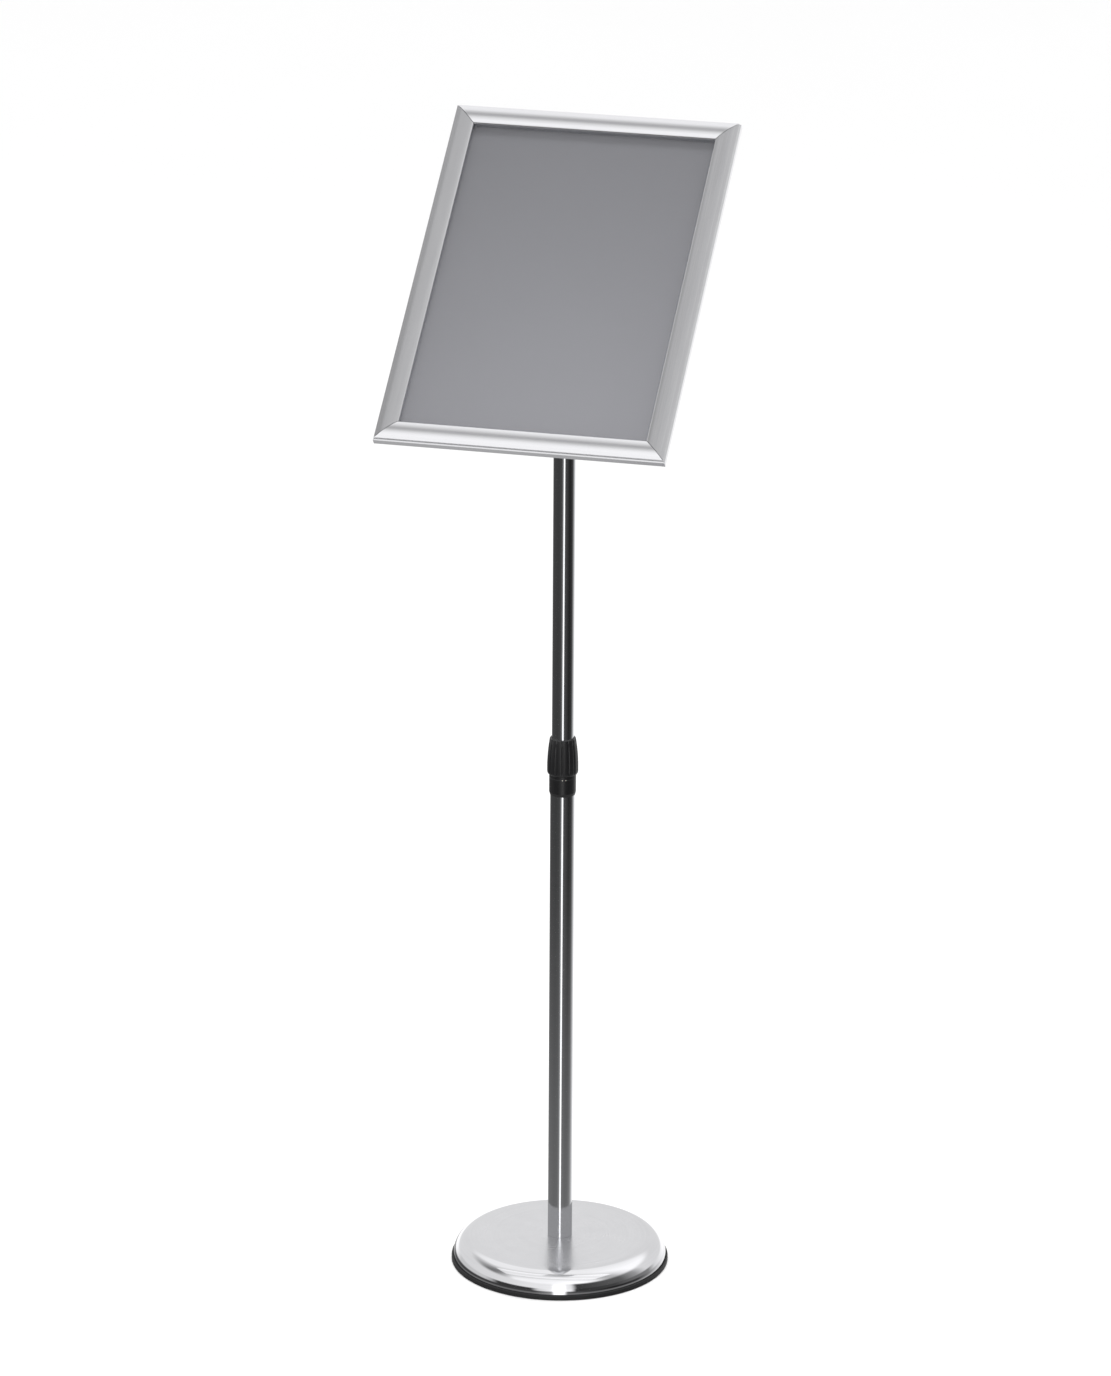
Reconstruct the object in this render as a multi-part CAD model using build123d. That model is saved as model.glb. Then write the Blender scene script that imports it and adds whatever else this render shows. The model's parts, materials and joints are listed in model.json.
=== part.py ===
"""Free-standing sign stand: weighted round base, telescopic pole with a twist lock, tilting A3 snap frame.

Millimetres, +Z up. The origin is the centre of the base's underside, and the sign faces -Y.
"""

import math
import os

from build123d import *

# ---- Driving dimensions -------------------------------------------------------------------------

# Fits and clearances
running_gap = 0.06  # radial clearance where one piece turns or slides on another
fixed_gap = 0.05  # radial clearance of a push fit inside one body
moving_gap = 0.3  # space between pieces of different bodies that pass each other

# Base
base_radius = 125.0
ring_height = 5.5
ring_floor = 3.0  # thickness of the ring's floor, which the cover and the weight stand on
ring_lip = 2.3  # wall outside the cover
ring_seat = 11.5  # width of the ring's floor
ring_bevel = 0.7
cover_wall = 1.0
cover_height = 30.0  # top of the cover, where the pole stands
cover_drop = 1.4  # fall of the dome from the pole to the shoulder
cover_dome_share = 0.3  # share of that fall reached half way out
shoulder_radius = 20.8
cover_flat_radius = 18.0
weight_height = 16.0
weight_bevel = 5.0
weight_lap = 0.6  # how far the weight stands on the ring's floor
boss_radius = 27.0
bolt_pocket_radius = 14.0
bolt_pocket_depth = 12.0
pad_gap = 0.2

# Base bolt
base_bolt_radius = 4.95
base_bolt_head = 6.4
base_bolt_flats = 17.0
base_bolt_reach = 20.0  # length of thread inside the foot insert
base_washer_radius = 10.0
base_washer_height = 2.0
spring_washer_radius = 8.5
spring_washer_height = 2.5
spring_washer_slit = 1.6
spring_washer_slant = 25.0

# Pole
upper_tube_radius = 12.5
upper_tube_wall = 1.0
tube_gap = 0.3  # between the two tubes, which the guide bush fills
tube_overlap = 75.0  # how far the upper tube reaches into the lower one at rest
lower_tube_wall = 1.2
lower_tube_length = 561.0
foot_insert_height = 25.0
bush_collar_height = 12.0
bush_stem_height = 20.0

# Twist lock
lock_body_wall = 1.25
lock_body_height = 24.0
lock_body_bevel = 3.5
lock_lip = 2.0  # shoulder of the lock body over the end of the lower tube
spigot_wall = 1.95
spigot_height = 16.0
nut_height = 43.0
nut_overhang = 2.35  # how far the nut stands out past the lock body
nut_top_wall = 2.3
nut_wall = 2.1
nut_lip = 4.0
nut_bevel = 4.0
nut_bevel_depth = 1.8
nut_rim_bevel = 0.7
nut_belly = 10.0  # height of the nut's widest point above its lower edge
nut_bow = 0.72  # share of its taper that the nut still holds half way up
flute_count = 14
flute_radius = 1.3
flute_depth = 0.55
collet_slit = 2.0

# Head
pivot_height = 1141.0
rest_tilt = 49.0  # degrees that the sign leans back from upright
neck_height = 25.0  # from the upper tube's end to the tilt axis
head_stem_height = 35.0
head_flange_overhang = 1.0
head_flange_height = 4.0
tongue_thickness = 20.0
tongue_radius = 12.0
tilt_washer_thickness = 1.5
tilt_washer_radius = 10.0
tilt_washer_gap = 0.1
ear_radius = 13.0
ear_root = 44.0  # width of an ear where it meets the web
bracket_sheet = 3.0
bracket_length = 64.0
web_offset = 28.0  # from the tilt axis to the bracket's web
tilt_bolt_radius = 4.0
tilt_bolt_head_radius = 9.0
tilt_bolt_head_height = 4.5
tilt_bolt_head_round = 2.7
tilt_bolt_end_gap = 1.3  # between the bolt's end and the knob's cap
knob_radius = 17.0
knob_height = 19.0
knob_lobes = 6
knob_lobe_radius = 6.0
knob_lobe_depth = 2.2
knob_cap = 5.0
knob_round = 3.0
knob_insert_wall = 2.6
knob_washer_height = 1.6
knob_washer_radius = 9.0

# Turning plate between the bracket and the frame
plate_edge = 6.2  # metal left outside the stop slot
plate_thickness = 2.5
disc_thickness = 1.5
disc_margin = 1.0
disc_gap = 0.05  # between the faces that turn on each other
stop_radius = 27.0
stop_pin_radius = 2.5
stop_turn = 90.0
rivet_offset = 22.0
rivet_radius = 2.0
rivet_head_radius = 3.6
rivet_head_height = 1.5
turn_bolt_radius = 4.0
turn_bolt_head_radius = 8.0
turn_washer_radius = 8.5
turn_washer_height = 1.6
turn_nut_flats = 13.0
turn_nut_height = 6.5
turn_bolt_end = 1.0

# Frame
sheet_width = 297.0
sheet_height = 420.0
sheet_cover = 10.0  # how far the snap rails reach over the sheet
profile_width = 25.0
sheet_thickness = 0.3
clear_thickness = 0.5
panel_thickness = 2.0
bar_width = 64.0
bar_thickness = 4.0
bar_corner = 6.0
bar_margin = 3.5
bar_screw_radius = 2.0
bar_screw_head_radius = 4.0
bar_screw_head_height = 2.2
bar_screw_pitch = 40.0
bar_screw_inset = 0.4 * profile_width  # from the frame's edge, over the middle of the back profile
bar_screw_tip = 1.0

# Back profile
back_wall = 1.2
outer_wall_height = 6.6
back_inner_margin = 0.6
rib_thickness = 1.0
rib_height = 3.0
key_channel = 4.8
bead_radius = 1.1
bead_inset = 2.2
bead_height = 8.2
neck_foot = 1.0  # fall of the neck's foot below the outer wall's top
neck_step = 0.4
neck_inner = (0.2, 1.08)  # inner corner under the bead: inset and fall from its centre
neck_outer = (0.75, 0.8)  # outer corner on the bead

# Snap rail
skin_thickness = 1.2
hook_clearance = 0.1
hook_start = -75.0
hook_end = 110.0
crest_height = 13.0
crown_edge_drop = 4.2
# Outer surface from hook to lip: share of the profile's width, fall below the crest
crown_points = (
    (0.17, 1.7),
    (0.34, 0.5),
    (0.56, 0.0),
    (0.74, 0.45),
    (0.88, 1.35),
    (0.965, 2.4),
    (1.0, crown_edge_drop),
)
crown_start = (0.94, 0.34)  # direction in which the crown leaves the hook
crown_samples = 9
mitre_gap = 0.35
catch_gap = 1.0  # from the leaf springs to the rib that catches them

# Corner keys and leaf springs
key_leg = 32.0
key_thickness = 1.6
key_gap = 0.1
leaf_half_length = 34.0
leaf_foot = 6.0
leaf_thickness = 0.5
leaf_rise = 4.9
leaf_gap = 0.5
leaf_spread = 0.27  # share of the rail's length from its middle to each leaf

# ---- Worked-out sizes ---------------------------------------------------------------------------

frame_width = sheet_width + 2 * (profile_width - sheet_cover)
frame_height = sheet_height + 2 * (profile_width - sheet_cover)
sheet_inset = profile_width - sheet_cover

ring_inner_radius = base_radius - ring_lip - fixed_gap - ring_seat
cover_radius = base_radius - ring_lip - fixed_gap
weight_radius = ring_inner_radius + weight_lap
lower_bore = upper_tube_radius + tube_gap
lower_tube_radius = lower_bore + lower_tube_wall
upper_bore = upper_tube_radius - upper_tube_wall
lower_tube_top = cover_height + lower_tube_length
lock_split = lower_tube_top + lock_lip
lock_bottom = lock_split - lock_body_height
lock_body_bore = lower_tube_radius + fixed_gap
lock_body_radius = lock_body_bore + lock_body_wall
nut_radius = lock_body_radius + nut_overhang
nut_top_radius = upper_tube_radius + nut_top_wall
spigot_top = lock_split + spigot_height
spigot_bore = upper_tube_radius + moving_gap / 2
spigot_radius = spigot_bore + spigot_wall
nut_bottom = lock_split + moving_gap
nut_top = nut_bottom + nut_height
upper_tube_top = pivot_height - neck_height
upper_tube_bottom = lower_tube_top - tube_overlap
head_flange_radius = upper_tube_radius + head_flange_overhang
tilt_hole = tilt_bolt_radius + running_gap
turn_hole = turn_bolt_radius + running_gap

plate_radius = stop_radius + stop_pin_radius + moving_gap + plate_edge
disc_radius = plate_radius - disc_margin
ear_inner = tongue_thickness / 2 + tilt_washer_thickness + tilt_washer_gap
ear_outer = ear_inner + bracket_sheet
web_front = web_offset + bracket_sheet
turn_nut_top = web_offset - disc_gap - turn_washer_height
plate_front = web_front + plate_thickness
disc_front = plate_front + disc_thickness
bar_back = disc_front + disc_gap
frame_back = bar_back + bar_thickness
panel_front = back_wall + panel_thickness
sheet_front = panel_front + sheet_thickness
clear_front = sheet_front + clear_thickness
lip_bottom = clear_front + moving_gap
second_rib = sheet_inset - back_inner_margin - rib_thickness
leaf_channel = back_wall + key_channel + rib_thickness
leaf_top = back_wall + leaf_rise + leaf_thickness
hook_radius = bead_radius + skin_thickness
hook_relief = bead_inset + hook_radius + 2 * mitre_gap  # square end cut of the hook's lower half


# ---- Helpers ------------------------------------------------------------------------------------

def turned(points, arcs=None):
    """Solid of revolution about Z from (radius, height) points, with a mid point for each arc edge."""
    arcs = arcs or {}
    edges = []
    for index, start in enumerate(points):
        end = points[(index + 1) % len(points)]
        first = (start[0], 0, start[1])
        last = (end[0], 0, end[1])
        if index in arcs:
            middle = (arcs[index][0], 0, arcs[index][1])
            edges.append(ThreePointArc(first, middle, last))
        else:
            edges.append(Line(first, last))
    return revolve(make_face(edges), Axis.Z)


def outline(points):
    """Flat face from a closed list of points in the XY plane."""
    return make_face(Polyline(*points, close=True))


def disc(radius, bottom, top, hole=0.0):
    """Round plate or ring about Z."""
    body = Pos(0, 0, bottom) * extrude(Circle(radius), top - bottom)
    if hole:
        body -= Pos(0, 0, bottom) * extrude(Circle(hole), top - bottom)
    return body


def along_x(shape):
    """Turns a shape made about Z so that its axis lies along +X."""
    return Rotation(0, 90, 0) * shape


def hexagon(flats, bottom, top, hole=0.0):
    """Hexagonal head or nut about Z."""
    body = Pos(0, 0, bottom) * extrude(RegularPolygon(flats / math.sqrt(3), 6), top - bottom)
    if hole:
        body -= Pos(0, 0, bottom) * extrude(Circle(hole), top - bottom)
    return body


def group(solids):
    """Several separate solids kept in one node."""
    return Compound(children=list(solids))


def on_pivot(shape):
    """Places a shape drawn in the sign's own frame: X right, Y up the sign, Z out of its face."""
    place = Location((0, 0, pivot_height)) * Rotation(90 - rest_tilt, 0, 0)
    return place * shape


# ---- Base ---------------------------------------------------------------------------------------

def base_edge_ring():
    seat_radius = cover_radius + fixed_gap
    return turned([
        (ring_inner_radius, 0),
        (base_radius - ring_bevel, 0),
        (base_radius, ring_bevel),
        (base_radius, ring_height - ring_bevel),
        (base_radius - ring_bevel, ring_height),
        (seat_radius, ring_height),
        (seat_radius, ring_floor),
        (ring_inner_radius, ring_floor),
    ])


def base_cover():
    shoulder_start = cover_radius - shoulder_radius
    shoulder_top = cover_height - cover_drop
    shoulder_foot = shoulder_top - shoulder_radius
    dome_middle = ((cover_flat_radius + shoulder_start) / 2, cover_height - cover_drop * cover_dome_share)
    diagonal = math.sqrt(0.5)

    def shoulder_middle(radius):
        return (shoulder_start + radius * diagonal, shoulder_foot + radius * diagonal)

    inner_radius = shoulder_radius - cover_wall
    hole = base_bolt_radius + moving_gap
    points = [
        (hole, cover_height),
        (cover_flat_radius, cover_height),
        (shoulder_start, shoulder_top),
        (cover_radius, shoulder_foot),
        (cover_radius, ring_floor),
        (cover_radius - cover_wall, ring_floor),
        (cover_radius - cover_wall, shoulder_foot),
        (shoulder_start, shoulder_top - cover_wall),
        (cover_flat_radius, cover_height - cover_wall),
        (hole, cover_height - cover_wall),
    ]
    arcs = {
        1: dome_middle,
        2: shoulder_middle(shoulder_radius),
        6: shoulder_middle(inner_radius),
        7: (dome_middle[0], dome_middle[1] - cover_wall),
    }
    return turned(points, arcs)


def base_weight():
    top = ring_floor + weight_height
    boss_top = cover_height - cover_wall
    pocket_top = ring_floor + bolt_pocket_depth
    hole = base_bolt_radius + moving_gap
    return turned([
        (hole, pocket_top),
        (bolt_pocket_radius, pocket_top),
        (bolt_pocket_radius, ring_floor),
        (weight_radius, ring_floor),
        (weight_radius, top - weight_bevel),
        (weight_radius - weight_bevel, top),
        (boss_radius, top),
        (cover_flat_radius, boss_top),
        (hole, boss_top),
    ])


def base_pad():
    return disc(ring_inner_radius - pad_gap, 0, ring_floor)


def base_bolt():
    head_top = ring_floor + bolt_pocket_depth - base_washer_height - spring_washer_height
    head = hexagon(base_bolt_flats, head_top - base_bolt_head, head_top)
    return head + disc(base_bolt_radius, head_top, cover_height + base_bolt_reach)


def base_washer():
    top = ring_floor + bolt_pocket_depth
    hole = base_bolt_radius + moving_gap
    return disc(base_washer_radius, top - base_washer_height, top, hole)


def base_spring_washer():
    top = ring_floor + bolt_pocket_depth - base_washer_height
    ring = disc(spring_washer_radius, top - spring_washer_height, top, base_bolt_radius + moving_gap)
    slit = Pos(spring_washer_radius, 0, top) * Rotation(spring_washer_slant, 0, 0) * Box(
        2 * spring_washer_radius, spring_washer_slit, 4 * spring_washer_height)
    return ring - slit


# ---- Pole and twist lock ------------------------------------------------------------------------

def tube_foot_insert():
    top = cover_height + foot_insert_height
    return disc(lower_bore - fixed_gap, cover_height, top, base_bolt_radius + fixed_gap)


def lower_tube():
    return disc(lower_tube_radius, cover_height, lower_tube_top, lower_bore)


def lock_body():
    bore = lock_body_bore
    return turned([
        (bore, lock_bottom),
        (bore + lock_body_wall / 4, lock_bottom),
        (lock_body_radius, lock_bottom + lock_body_bevel),
        (lock_body_radius, lock_split),
        (spigot_radius, lock_split),
        (spigot_radius, spigot_top),
        (spigot_bore, spigot_top),
        (spigot_bore, lower_tube_top),
        (bore, lower_tube_top),
    ])


def collet_cone(gap):
    """Radii of the clamping cone at its foot and top, less a gap."""
    foot = nut_radius - nut_wall
    head = nut_top_radius - nut_wall / 2 - gap
    return foot - gap, head


def lock_nut():
    cone_foot = spigot_top + moving_gap
    cone_top = nut_top - nut_lip
    foot_radius, head_radius = collet_cone(0)
    points = [
        (spigot_radius + moving_gap, nut_bottom),
        (nut_radius - nut_bevel_depth, nut_bottom),
        (nut_radius, nut_bottom + nut_bevel),
        (nut_radius, nut_bottom + nut_belly),
        (nut_top_radius, nut_top - nut_rim_bevel),
        (nut_top_radius - nut_rim_bevel / 2, nut_top),
        (upper_tube_radius + moving_gap, nut_top),
        (upper_tube_radius + moving_gap, cone_top),
        (head_radius, cone_top),
        (foot_radius, cone_foot),
        (spigot_radius + moving_gap, cone_foot),
    ]
    bow_height = (nut_bottom + nut_belly + nut_top) / 2
    bow_radius = nut_top_radius + (nut_radius - nut_top_radius) * nut_bow
    body = turned(points, {3: (bow_radius, bow_height)})
    reach = flute_radius - flute_depth
    path = ThreePointArc(
        (nut_radius + reach, 0, nut_bottom + nut_belly),
        (bow_radius + reach, 0, bow_height),
        (nut_top_radius + reach, 0, nut_top - nut_rim_bevel),
    )
    flute = sweep(Plane(origin=path @ 0, z_dir=path % 0) * Circle(flute_radius), path)
    lead = Pos(nut_radius + reach, 0, nut_bottom + nut_bevel) * extrude(
        Circle(flute_radius), nut_belly - nut_bevel)
    for index in range(flute_count):
        turn = Rotation(0, 0, index * 360 / flute_count)
        body -= turn * flute
        body -= turn * lead
    return body


def collet():
    foot = spigot_top
    top = nut_top - nut_lip - moving_gap
    foot_radius, head_radius = collet_cone(moving_gap)
    bore = upper_tube_radius + running_gap
    ring = turned([
        (bore, foot),
        (spigot_radius, foot),
        (spigot_radius, foot + 2 * moving_gap),
        (foot_radius, foot + 3 * moving_gap),
        (head_radius, top),
        (bore, top),
    ])
    slit = Pos(0, -foot_radius, (foot + top) / 2) * Box(collet_slit, 2 * foot_radius, 2 * (top - foot))
    return ring - slit


def upper_tube():
    return disc(upper_tube_radius, upper_tube_bottom, upper_tube_top, upper_bore)


def guide_bush():
    collar = disc(lower_bore - running_gap, upper_tube_bottom - bush_collar_height, upper_tube_bottom)
    stem_radius = upper_bore - fixed_gap
    body = collar + disc(stem_radius, upper_tube_bottom, upper_tube_bottom + bush_stem_height)
    bore = stem_radius - 2 * upper_tube_wall
    return body - disc(bore, upper_tube_bottom - bush_collar_height,
                       upper_tube_bottom + bush_stem_height)


# ---- Head ---------------------------------------------------------------------------------------

def pole_head():
    stem = disc(upper_bore - fixed_gap, upper_tube_top - head_stem_height, upper_tube_top)
    flange_top = upper_tube_top + head_flange_height
    flange = disc(head_flange_radius, upper_tube_top, flange_top)
    tongue_height = pivot_height - flange_top
    tongue = Pos(0, 0, flange_top + tongue_height / 2) * Box(
        tongue_thickness, 2 * tongue_radius, tongue_height)
    at_pivot = Pos(0, 0, pivot_height)
    round_end = at_pivot * along_x(disc(tongue_radius, -tongue_thickness / 2, tongue_thickness / 2))
    hole = at_pivot * along_x(disc(tilt_hole, -tongue_thickness, tongue_thickness))
    return stem + flange + tongue + round_end - hole


def tilt_bracket():
    web = Pos(0, 0, web_offset + bracket_sheet / 2) * Box(
        2 * ear_outer, bracket_length, bracket_sheet)
    ear_outline = outline([
        (-ear_root / 2, web_offset + bracket_sheet / 2),
        (ear_root / 2, web_offset + bracket_sheet / 2),
        (ear_radius, 0),
        (-ear_radius, 0),
    ]) + Circle(ear_radius) - Circle(tilt_hole)
    body = web
    for start in (-ear_outer, ear_inner):
        body += Pos(start, 0, 0) * extrude(Plane.YZ * ear_outline, bracket_sheet)
    body -= disc(turn_hole, web_offset, web_front)
    for side in (-1, 1):
        body -= Pos(0, side * rivet_offset, 0) * disc(
            rivet_radius + fixed_gap, web_offset, web_front)
    return on_pivot(body)


def tilt_washers():
    inner = tongue_thickness / 2 + tilt_washer_gap
    rings = []
    for start in (-inner - tilt_washer_thickness, inner):
        rings.append(along_x(disc(tilt_washer_radius, start, start + tilt_washer_thickness, tilt_hole)))
    return group([on_pivot(ring) for ring in rings])


def tilt_bolt():
    head_start = -ear_outer - tilt_bolt_head_height
    head = disc(tilt_bolt_head_radius, head_start, -ear_outer)
    head = fillet(head.edges().group_by(Axis.Z)[0], tilt_bolt_head_round)
    end = knob_start() + knob_height - knob_cap - tilt_bolt_end_gap
    return on_pivot(along_x(head + disc(tilt_bolt_radius, -ear_outer, end)))


def knob_washer():
    ring = disc(knob_washer_radius, ear_outer, ear_outer + knob_washer_height, tilt_hole)
    return on_pivot(along_x(ring))


def knob_start():
    return ear_outer + knob_washer_height + moving_gap


def tilt_knob():
    start = knob_start()
    end = start + knob_height
    body = disc(knob_radius, start, end)
    body = fillet(body.edges().group_by(Axis.Z)[-1], knob_round)
    reach = knob_radius + knob_lobe_radius - knob_lobe_depth
    for index in range(knob_lobes):
        turn = Rotation(0, 0, index * 360 / knob_lobes)
        body -= turn * Pos(reach, 0, 0) * disc(knob_lobe_radius, start, end)
    body -= disc(tilt_hole + knob_insert_wall + fixed_gap, start, end - knob_cap)
    return on_pivot(along_x(body))


def knob_insert():
    start = knob_start()
    return on_pivot(along_x(
        disc(tilt_hole + knob_insert_wall, start, start + knob_height - knob_cap, tilt_hole)))


# ---- Turning plate ------------------------------------------------------------------------------

def stop_slot(bottom, top):
    """Arc slot that the stop pin runs in, from the pin's rest place through its turn."""
    half = stop_pin_radius + moving_gap
    ring = disc(stop_radius + half, bottom, top, stop_radius - half)
    first = -stop_turn / 2
    reach = 2 * stop_radius
    corners = [(0, 0)]
    for angle in (first, first + stop_turn / 2, first + stop_turn):
        corners.append((reach * math.cos(math.radians(angle)), reach * math.sin(math.radians(angle))))
    wedge = Pos(0, 0, bottom) * extrude(outline(corners), top - bottom)
    slot = ring & wedge
    for angle in (first, first + stop_turn):
        slot += Rotation(0, 0, angle) * Pos(stop_radius, 0, 0) * disc(half, bottom, top)
    return slot


def turn_plate():
    body = disc(plate_radius, web_front, plate_front, turn_hole) - stop_slot(web_front, plate_front)
    for side in (-1, 1):
        body -= Pos(0, side * rivet_offset, 0) * disc(
            rivet_radius + fixed_gap, web_front, plate_front)
    return on_pivot(body)


def friction_disc():
    body = disc(disc_radius, plate_front, disc_front, turn_hole) - stop_slot(plate_front, disc_front)
    return on_pivot(body)


def plate_rivets():
    rivets = []
    for side in (-1, 1):
        shank = disc(rivet_radius, web_offset, plate_front)
        head = disc(rivet_head_radius, web_offset - rivet_head_height, web_offset)
        rivets.append(on_pivot(Pos(0, side * rivet_offset, 0) * (shank + head)))
    return group(rivets)


def stop_pin():
    angle = -stop_turn / 2
    body = disc(stop_pin_radius, web_front + moving_gap, frame_back)
    return on_pivot(Rotation(0, 0, angle) * Pos(stop_radius, 0, 0) * body)


def turn_bolt():
    cone = Pos(0, 0, bar_back + bar_thickness / 2) * Cone(
        turn_bolt_radius, turn_bolt_head_radius, bar_thickness)
    end = turn_nut_top - turn_nut_height - turn_bolt_end
    return on_pivot(cone + disc(turn_bolt_radius, end, bar_back))


def turn_washer():
    return on_pivot(disc(turn_washer_radius, turn_nut_top, web_offset - disc_gap, turn_hole))


def turn_nut():
    bottom = turn_nut_top - turn_nut_height
    return on_pivot(hexagon(turn_nut_flats, bottom, turn_nut_top, turn_bolt_radius + fixed_gap))


def cross_bar():
    length = frame_width - 2 * bar_margin
    body = Pos(0, 0, bar_back + bar_thickness / 2) * Box(length, bar_width, bar_thickness)
    body = fillet(body.edges().filter_by(Axis.Z), bar_corner)
    body -= Pos(0, 0, bar_back + bar_thickness / 2) * Cone(
        turn_bolt_radius + fixed_gap, turn_bolt_head_radius + fixed_gap, bar_thickness)
    body -= Rotation(0, 0, -stop_turn / 2) * Pos(stop_radius, 0, 0) * disc(
        stop_pin_radius + fixed_gap, bar_back, frame_back)
    for place in bar_screw_places():
        body -= Pos(*place) * disc(bar_screw_radius + fixed_gap, bar_back, frame_back)
    return on_pivot(body)


def bar_screw_places():
    reach = frame_width / 2 - bar_screw_inset
    rows = (-bar_screw_pitch / 2, bar_screw_pitch / 2)
    return [(side * reach, row) for side in (-1, 1) for row in rows]


def bar_screws():
    screws = []
    for place in bar_screw_places():
        head = disc(bar_screw_head_radius, bar_back - bar_screw_head_height, bar_back)
        shank = disc(bar_screw_radius, bar_back, frame_back + back_wall + bar_screw_tip)
        screws.append(on_pivot(Pos(*place) * (head + shank)))
    return group(screws)


# ---- Frame --------------------------------------------------------------------------------------

sides = {
    "bottom": (0, frame_width, frame_height / 2),
    "right": (90, frame_height, frame_width / 2),
    "top": (180, frame_width, frame_height / 2),
    "left": (270, frame_height, frame_width / 2),
}


def on_side(shape, side):
    """Moves a shape drawn for the bottom rail, outer edge on the X axis, to a side of the frame."""
    angle, _, reach = sides[side]
    return Rotation(0, 0, angle) * Pos(0, -reach, frame_back) * shape


def mitred(section, length, gap):
    """Rail along X from a section in (inset, height), its ends cut at 45 degrees."""
    bar = extrude(Plane.YZ * section, length / 2, both=True)
    depth = profile_width + back_wall
    half = length / 2 - gap
    cutter = outline([(-half, 0), (half, 0), (half - depth, depth), (-half + depth, depth)])
    return bar & extrude(cutter, 2 * crest_height)


def block(low, high):
    """Rectangle between two corners of a section."""
    return outline([low, (high[0], low[1]), high, (low[0], high[1])])


def back_section():
    wall_top = outer_wall_height
    first_rib = back_wall + key_channel
    section = block((0, 0), (profile_width - back_inner_margin, back_wall))
    section += block((0, 0), (back_wall, wall_top - neck_step))
    section += block((first_rib, 0), (first_rib + rib_thickness, back_wall + rib_height))
    section += block((second_rib, 0), (second_rib + rib_thickness, back_wall + rib_height))
    neck = outline([
        (0, wall_top - neck_foot),
        (back_wall, wall_top - neck_foot),
        (back_wall, wall_top - neck_step),
        (bead_inset - neck_inner[0], bead_height - neck_inner[1]),
        (bead_inset, bead_height),
        (bead_inset - neck_outer[0], bead_height - neck_outer[1]),
        (0, wall_top),
    ])
    return section + neck + Pos(bead_inset, bead_height) * Circle(bead_radius)


def back_rail(side):
    body = on_side(mitred(back_section(), sides[side][1], 0), side)
    for place in bar_screw_places():
        body -= Pos(*place) * disc(bar_screw_radius + fixed_gap, frame_back, frame_back + back_wall)
    return on_pivot(body)


def around_bead(radius, angle):
    turn = math.radians(angle)
    return (bead_inset + radius * math.cos(turn), bead_height + radius * math.sin(turn))


def snap_section():
    inner = bead_radius + hook_clearance
    outer = hook_radius
    middle = (hook_start + hook_end) / 2
    hook = make_face([
        ThreePointArc(around_bead(outer, hook_start), around_bead(outer, middle),
                      around_bead(outer, hook_end)),
        Line(around_bead(outer, hook_end), around_bead(inner, hook_end)),
        ThreePointArc(around_bead(inner, hook_end), around_bead(inner, middle),
                      around_bead(inner, hook_start)),
        Line(around_bead(inner, hook_start), around_bead(outer, hook_start)),
    ])
    # A broad arch that turns down to the sheet along its inner edge
    crown = [around_bead(outer, hook_end)]
    for share, fall in crown_points:
        crown.append((share * profile_width, crest_height - fall))
    top = Spline(*crown, tangents=(crown_start, (0.0, -1.0)))
    under_points = []
    for index in range(crown_samples):
        share = index / (crown_samples - 1)
        point = top @ share
        direction = top % share
        under_points.append((
            point.X + direction.Y * skin_thickness,
            point.Y - direction.X * skin_thickness,
        ))
    under = Spline(*under_points)
    skin = make_face([
        top,
        Line(top @ 1, under @ 1),
        under,
        Line(under @ 0, top @ 0),
    ])
    lip = block(
        (profile_width - skin_thickness, lip_bottom), (profile_width, crest_height - crown_edge_drop))
    catch_middle = (leaf_channel + second_rib) / 2
    catch = block(
        (catch_middle - skin_thickness / 2, leaf_top + catch_gap),
        (catch_middle + skin_thickness / 2, crest_height - 0.75 * skin_thickness),
    )
    return hook + skin + lip + catch - Pos(bead_inset, bead_height) * Circle(inner)


def snap_rail(side):
    length = sides[side][1]
    body = mitred(snap_section(), length, mitre_gap)
    reach = bead_inset + hook_radius + mitre_gap
    notch = Pos(0, reach / 2, bead_height - hook_radius) * Box(
        2 * hook_relief, reach, 2 * hook_radius)
    for end in (-length / 2, length / 2):
        body -= Pos(end, 0, 0) * notch
    return on_pivot(on_side(body, side))


def corner_keys():
    start = back_wall + key_gap
    end = back_wall + key_channel - key_gap
    shape = outline([
        (start, start),
        (start + key_leg, start),
        (start + key_leg, end),
        (end, end),
        (end, start + key_leg),
        (start, start + key_leg),
    ])
    key = extrude(shape, key_thickness)
    corners = [(-1, -1, 0), (1, -1, 90), (1, 1, 180), (-1, 1, 270)]
    keys = []
    for side_x, side_y, angle in corners:
        place = Pos(side_x * frame_width / 2, side_y * frame_height / 2, frame_back + back_wall)
        keys.append(on_pivot(place * Rotation(0, 0, angle) * key))
    return group(keys)


def leaf_spring():
    """Bowed strip along X, standing on its two feet at height 0."""
    span = leaf_half_length
    end = span + leaf_foot
    rise = leaf_rise
    edges = [
        Line((-end, 0), (-span, 0)),
        ThreePointArc((-span, 0), (0, rise), (span, 0)),
        Line((span, 0), (end, 0)),
        Line((end, 0), (end, leaf_thickness)),
        Line((end, leaf_thickness), (span, leaf_thickness)),
        ThreePointArc((span, leaf_thickness), (0, rise + leaf_thickness), (-span, leaf_thickness)),
        Line((-span, leaf_thickness), (-end, leaf_thickness)),
        Line((-end, leaf_thickness), (-end, 0)),
    ]
    width = second_rib - leaf_channel - 2 * leaf_gap
    return extrude(Plane.XZ * make_face(edges), -width)


def rail_springs():
    leaf = leaf_spring()
    leaves = []
    for side, (_, length, _) in sides.items():
        for direction in (-1, 1):
            place = Pos(direction * leaf_spread * length, leaf_channel + leaf_gap, back_wall)
            leaves.append(on_pivot(on_side(place * leaf, side)))
    return group(leaves)


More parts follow.
